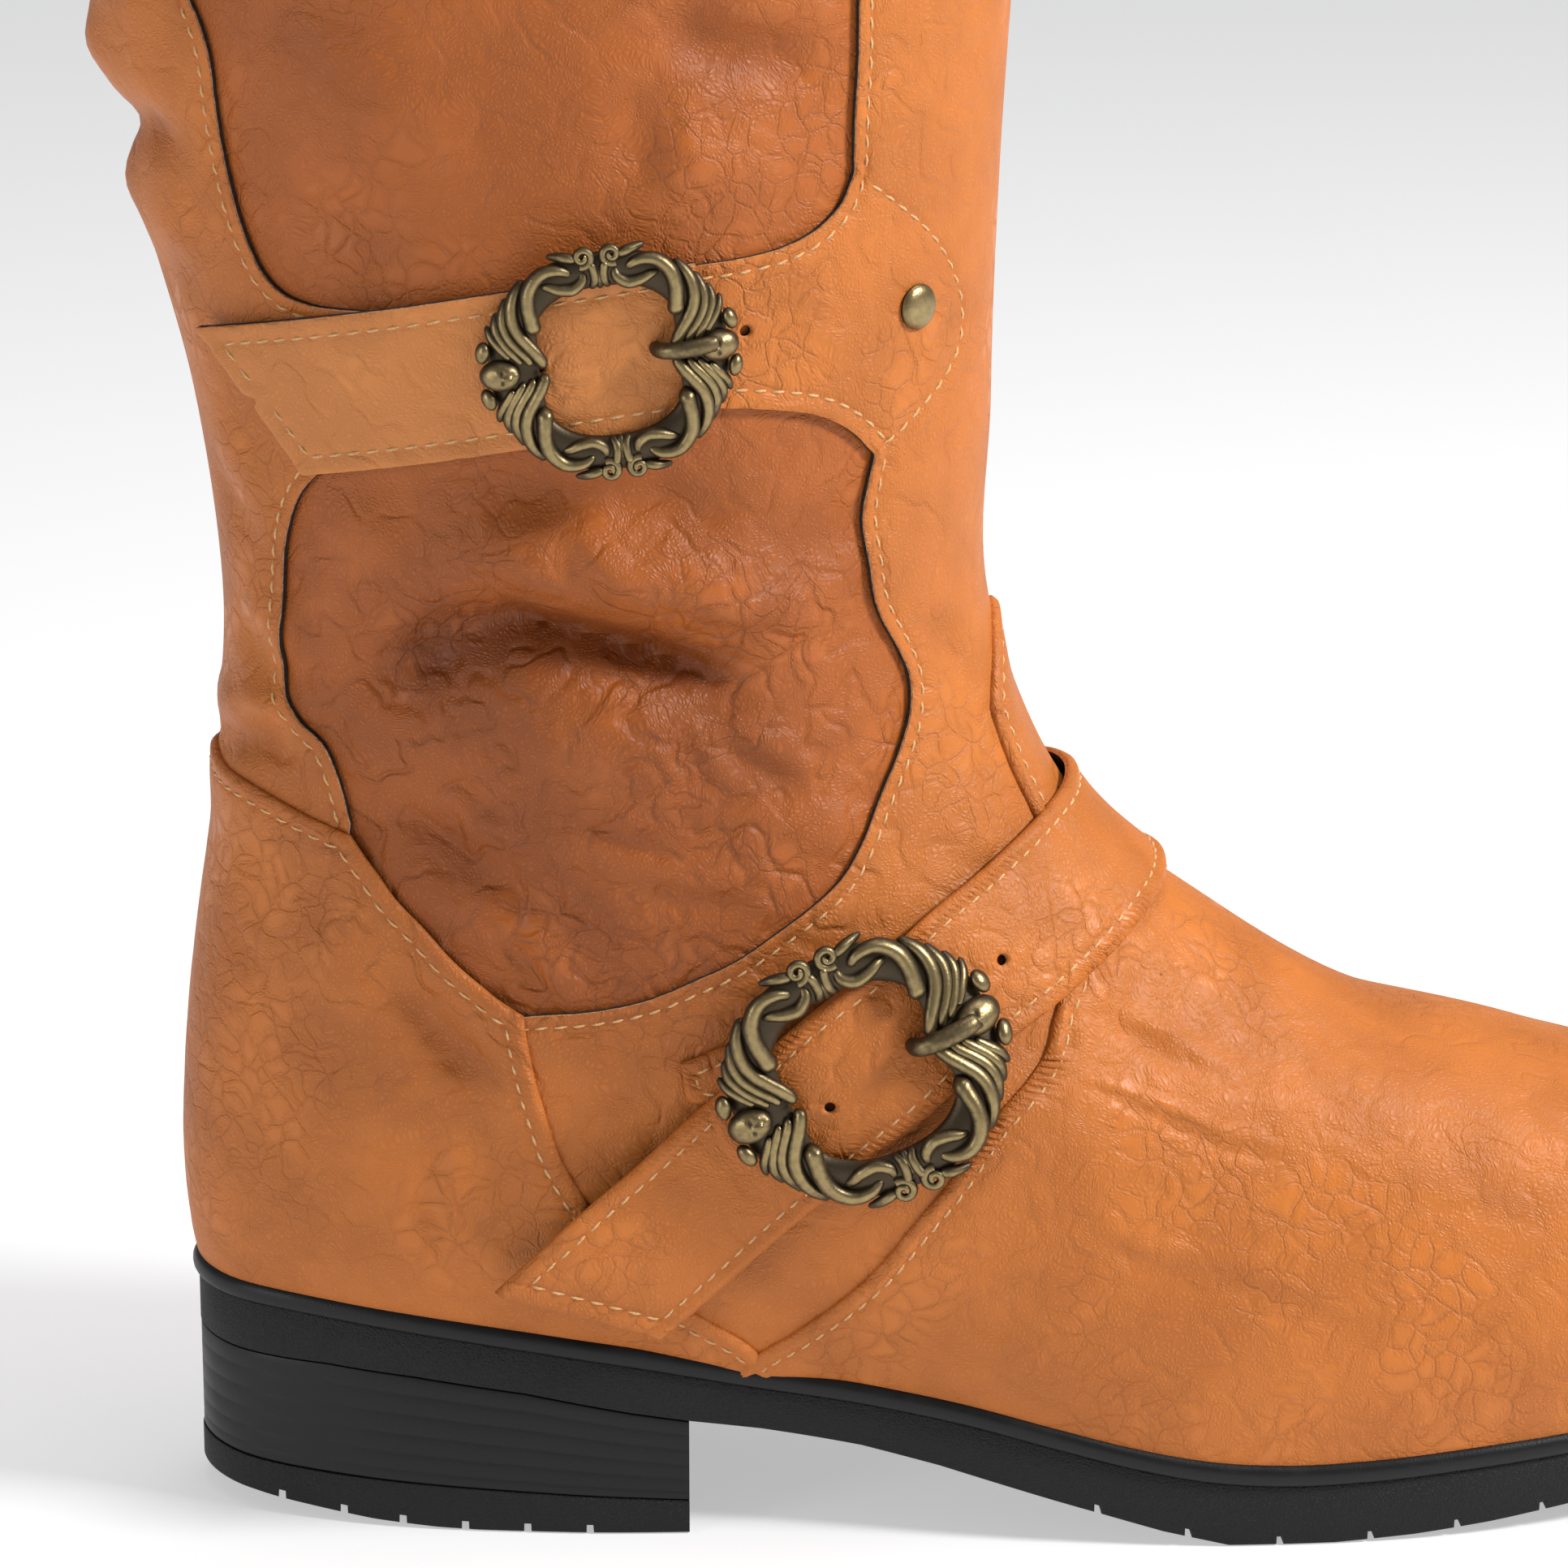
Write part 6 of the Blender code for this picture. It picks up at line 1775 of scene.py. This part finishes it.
@dataclass(frozen=True)
class Leather:
    """Pebbled leather with crackle veins, smoother worn patches, and painted shade in its creases and round
    the ankle.
    """

    name: str
    colour: tuple[float, float, float]
    shade: tuple[float, float, float]
    grain: float = 0.10
    veins: float = 0.13
    # How much shade is painted into the colour round the ankle.
    ankle_painted_shade: float = 0.22
    gloss: float = 0.45

    def material(self) -> bpy.types.Material:
        """Return the material."""
        finish = Finish(self.name)
        place = finish.millimetres()
        loose = finish.warped(place, 0.12, 7.5)
        pebbles = finish.cells(loose, 1.20).ramp(0.0, 0.46)
        border = finish.cells(loose, 0.21)
        macro = finish.noise(place, 0.05, 2.0)
        where = finish.noise(place, 0.030, 1.0).ramp(0.44, 0.64)
        veins = (1.0 - border.ramp(0.0, 0.09)) * where
        patches = border.ramp(0.14, 0.25) * (macro * 0.8 + where * 0.14).ramp(0.50, 0.58)
        rough = 1.0 - patches * 0.65
        height = pebbles * rough * self.grain - veins * self.veins + patches * 0.04
        waves = (finish.noise(loose, 0.105, 1.0, 0.4) - 0.5).size().ramp(0.0, 0.10)
        # Crease depth from the pieces; it paints shade into the leather's troughs.
        fold = finish.node("ShaderNodeAttribute", {"attribute_name": "fold"}, {}, "Fac").ramp(0.0, 7.0)
        up = finish.part(place, "Z")
        ahead = finish.part(place, "X")
        # A zone round the ankle: it adds wrinkles to the bump and paints shade into the colour.
        ankle = up.ramp(62.0, 120.0) * (1.0 - up.ramp(165.0, 215.0)) * (
            1.0 - ahead.ramp(25.0, 75.0)
        ) * ahead.ramp(-62.0, -30.0)
        height = height + waves * (ankle * 0.36 + 0.17)
        # How far the colour turns dark: grain valleys, veins and random tone are the leather's own; the
        # crease and ankle terms are painted shade.
        deep = (1.0 - pebbles) * rough * 0.20 + veins * 0.10 + (1.0 - macro.ramp(0.32, 0.62)) * 0.14
        deep = (deep + fold * 0.34 + ankle * self.ankle_painted_shade).ramp(0.0, 1.0)
        lit = tuple(min(1.0, part * 1.10) for part in self.colour)
        worn = (macro + patches * 0.05).ramp(0.35, 0.75)
        colour = finish.node(
            "ShaderNodeMix", {"data_type": "RGBA"},
            {0: deep, 6: worn.blend(self.colour, lit), 7: self.shade}, 2
        )
        roughness = self.gloss - patches * 0.09 + (1.0 - pebbles) * 0.06
        return finish.dress(height, base_color=colour, roughness=roughness, specular_ior_level=0.32)


@dataclass(frozen=True)
class Fibre:
    """A plain fibrous face: raw leather, backing, thread or lining."""

    name: str
    colour: tuple[float, float, float]
    shade: tuple[float, float, float]
    scale: float = 1.4
    rise: float = 0.06
    roughness: float = 0.85

    def material(self) -> bpy.types.Material:
        """Return the material."""
        finish = Finish(self.name)
        place = finish.millimetres()
        spots = finish.noise(place, self.scale, 4.0, 0.6)
        return finish.dress(
            spots * self.rise, base_color=spots.ramp(0.35, 0.62).blend(self.shade, self.colour),
            roughness=self.roughness, specular_ior_level=0.3
        )


@dataclass(frozen=True)
class Rubber:
    """Near-black rubber, smooth or finely pebbled."""

    name: str
    colour: tuple[float, float, float] = (0.0045, 0.0043, 0.0045)
    grain: float = 0.09
    scale: float = 1.5
    roughness: float = 0.58

    def material(self) -> bpy.types.Material:
        """Return the material."""
        finish = Finish(self.name)
        place = finish.millimetres()
        spots = finish.cells(finish.warped(place, 0.8, 0.8), self.scale).ramp(0.0, 0.34)
        dust = finish.noise(place, 0.12, 4.0).ramp(0.45, 0.75)
        lit = tuple(part * 1.9 for part in self.colour)
        return finish.dress(
            spots * self.grain + finish.noise(place, 0.9, 3.0) * 0.02, base_color=(
                dust * 0.55 + spots * 0.2
            ).blend(self.colour, lit),
            roughness=self.roughness + dust * 0.08, specular_ior_level=0.32,
        )


@dataclass(frozen=True)
class Brass:
    """Antique brass: dark in its hollows, rubbed bright on its high places."""

    name: str = "antique_brass"
    hollow: tuple[float, float, float] = (0.060, 0.042, 0.022)
    rubbed: tuple[float, float, float] = (0.36, 0.27, 0.125)

    def material(self) -> bpy.types.Material:
        """Return the material."""
        finish = Finish(self.name)
        place = finish.millimetres()
        worn = finish.node(
            "ShaderNodeAttribute", {"attribute_type": "GEOMETRY", "attribute_name": "worn"}, {}, "Fac"
        )
        blotch = finish.noise(place, 0.9, 4.0, 0.6)
        bright = (worn + (blotch - 0.5) * 0.7).ramp(0.30, 1.25)
        pits = finish.noise(place, 2.4, 3.0, 0.6)
        return finish.dress(
            pits * 0.045, base_color=bright.blend(self.hollow, self.rubbed), roughness=0.42 - bright * 0.12,
            metallic=0.70 + bright * 0.30, specular_ior_level=0.5,
        )


# ---------------------------------------------------------------- studio


@dataclass
class Studio:
    """The photo's camera, a pale floor and soft lights."""

    location: tuple[float, float, float] = (-0.0297, -1.0043, 0.4320)
    target: tuple[float, float, float] = (0.0405, 0.0, 0.1337)
    lens: float = 130.4

    def lamp(self, name: str, place: tuple[float, float, float], size: float, power: float) -> None:
        """Add a soft square light that looks at the boot."""
        data = bpy.data.lights.new(name, "AREA")
        data.size, data.energy = size, power
        lamp = bpy.data.objects.new(name, data)
        lamp.location = place
        lamp.rotation_euler = (Vector((0.02, 0, 0.15)) - Vector(place)).to_track_quat("-Z", "Y").to_euler()
        bpy.context.scene.collection.objects.link(lamp)

    def build(self) -> None:
        """Place everything."""
        data = bpy.data.cameras.new("camera")
        data.lens, data.sensor_width = self.lens, 36.0
        camera = bpy.data.objects.new("camera", data)
        camera.location = self.location
        camera.rotation_euler = (
            Vector(self.target) - Vector(self.location)
        ).to_track_quat("-Z", "Y").to_euler()
        bpy.context.scene.collection.objects.link(camera)
        bpy.context.scene.camera = camera
        self.lamp("key", (1.25, -0.52, 1.10), 0.34, 29.0)
        self.lamp("fill", (-1.30, -0.85, 0.40), 0.6, 5.6)
        self.lamp("top", (0.25, 0.15, 1.5), 0.9, 10.0)
        world = bpy.data.worlds.new("pale room")
        world.use_nodes = True
        world.node_tree.nodes["Background"].inputs["Color"].default_value = (0.95, 0.96, 1.0, 1.0)
        world.node_tree.nodes["Background"].inputs["Strength"].default_value = 0.24
        bpy.context.scene.world = world
        bpy.ops.object.select_all(action="DESELECT")
        bpy.ops.mesh.primitive_plane_add(size=60.0, location=(0, 0, -0.0002))
        floor = bpy.context.object
        floor.name = "studio_floor"
        finish = Finish("pale floor")
        floor.data.materials.append(
            finish.dress(
                base_color=(0.60, 0.60, 0.60), roughness=0.8, emission_color=(1.0, 1.0, 1.0),
                emission_strength=0.46
            )
        )
        bpy.context.scene.view_settings.view_transform = "Standard"


def main() -> None:
    """Build the boot piece by piece."""
    logging.basicConfig(level=logging.INFO, format="%(message)s")
    tan = Leather("tan_leather", (0.50, 0.150, 0.025), (0.20, 0.046, 0.006)).material()
    # A darker copy of the tan leather for the shell seen in the windows: painted shade.
    panel = Leather("shaded_panel_leather", (0.39, 0.103, 0.017), (0.15, 0.032, 0.004)).material()
    light = Leather("light_tan_leather", (0.57, 0.205, 0.052), (0.32, 0.10, 0.022), 0.08, 0.05).material()
    raw = Fibre("cut_edge", (0.60, 0.33, 0.155), (0.34, 0.15, 0.06)).material()
    backing = Fibre("dark_backing", (0.030, 0.026, 0.024), (0.012, 0.010, 0.010)).material()
    thread = Fibre("thread", (0.72, 0.45, 0.22), (0.52, 0.29, 0.12), 3.0, 0.05).material()
    lining = Fibre("lining", (0.035, 0.034, 0.036), (0.014, 0.014, 0.015), 0.9, 0.10).material()
    board = Fibre("insole_board", (0.12, 0.11, 0.10), (0.07, 0.065, 0.06)).material()
    brass = Brass().material()
    smooth_rubber = Rubber("smooth_rubber", grain=0.012, scale=1.2, roughness=0.42).material()
    rough_rubber = Rubber("pebbled_rubber").material()

    leather = ShaftLeather()
    finish_piece(leather.shell(), (panel, lining), Slot.LEATHER, "upper")
    stitching = Stitching()

    def dress(sheet: Sheet, face: bpy.types.Material, slot: Slot, node: str) -> None:
        """Build a sheet and sew along its edges."""
        finish_piece(sheet.build(), (face, raw, backing), slot, node)
        if sheet.stitch_lines():
            finish_piece(
                stitching.build(f"{sheet.name}_stitches", sheet), (thread,), Slot.LIGHT_LEATHER, node
            )

    dress(leather.frame_sheet(), tan, Slot.LEATHER, "shaft_frame")
    dress(leather.counter_sheet(), tan, Slot.LEATHER, "counter")
    dress(leather.vamp_sheet(), tan, Slot.LEATHER, "vamp")
    tab = (Edge(BUCKLE_TAB + BUCKLE_TAB[:1], EdgeFinish.FOLDED, 2.6 * MM, smooth=False),)
    tab_sheet = Sheet("buckle_tab_leather", tab, base=2.0 * MM, thickness=1.4 * MM, creased=0.3)
    dress(tab_sheet, tan, Slot.LEATHER, "buckle_tab")
    shaft_strap = Strap(
        "shaft_strap_leather", SHAFT_STRAP_LINE, -0.52, EdgeFinish.RAW, shaft_lift, ((0.225, 0.627),),
        ((0.45, 0.0), (0.49, 0.14), (0.54, 0.02)),
    )
    dress(shaft_strap.sheet(), light, Slot.LIGHT_LEATHER, "shaft_strap")
    instep_strap = Strap(
        "instep_strap_leather", INSTEP_STRAP_LINE, -0.54, EdgeFinish.FOLDED, instep_lift,
        ((0.341, 0.313), (0.231, 0.187)), bead=0.4 * MM,
    )
    dress(instep_strap.sheet(), tan, Slot.LEATHER, "instep_strap")

    shaft_buckle = Buckle("shaft_buckle", (0.256, 0.632), (0.312, 0.640), 1.0, 3.7 * MM, 0.06)
    instep_buckle = Buckle("instep_buckle", (0.254, 0.226), (0.319, 0.298), 1.2, 5.6 * MM)
    for buckle in (shaft_buckle, instep_buckle):
        finish_piece(buckle.ring(), (brass,), Slot.BRASS, buckle.name)
        finish_piece(buckle.prong(), (brass,), Slot.BRASS, buckle.name.replace("buckle", "prong"))
    finish_piece(Rivet().build(), (brass,), Slot.BRASS, "strap_rivet")

    sole = Sole()
    finish_piece(sole.rim(), (smooth_rubber,), Slot.RUBBER, "sole_rim")
    finish_piece(sole.outsole(), (rough_rubber,), Slot.RUBBER, "outsole")
    finish_piece(sole.heel(), (smooth_rubber,), Slot.RUBBER, "heel")
    finish_piece(sole.top_piece(), (rough_rubber,), Slot.RUBBER, "heel_top_piece")
    finish_piece(sole.insole(), (board,), Slot.BOARD, "insole")

    Studio().build()


if __name__ == "__main__":
    main()
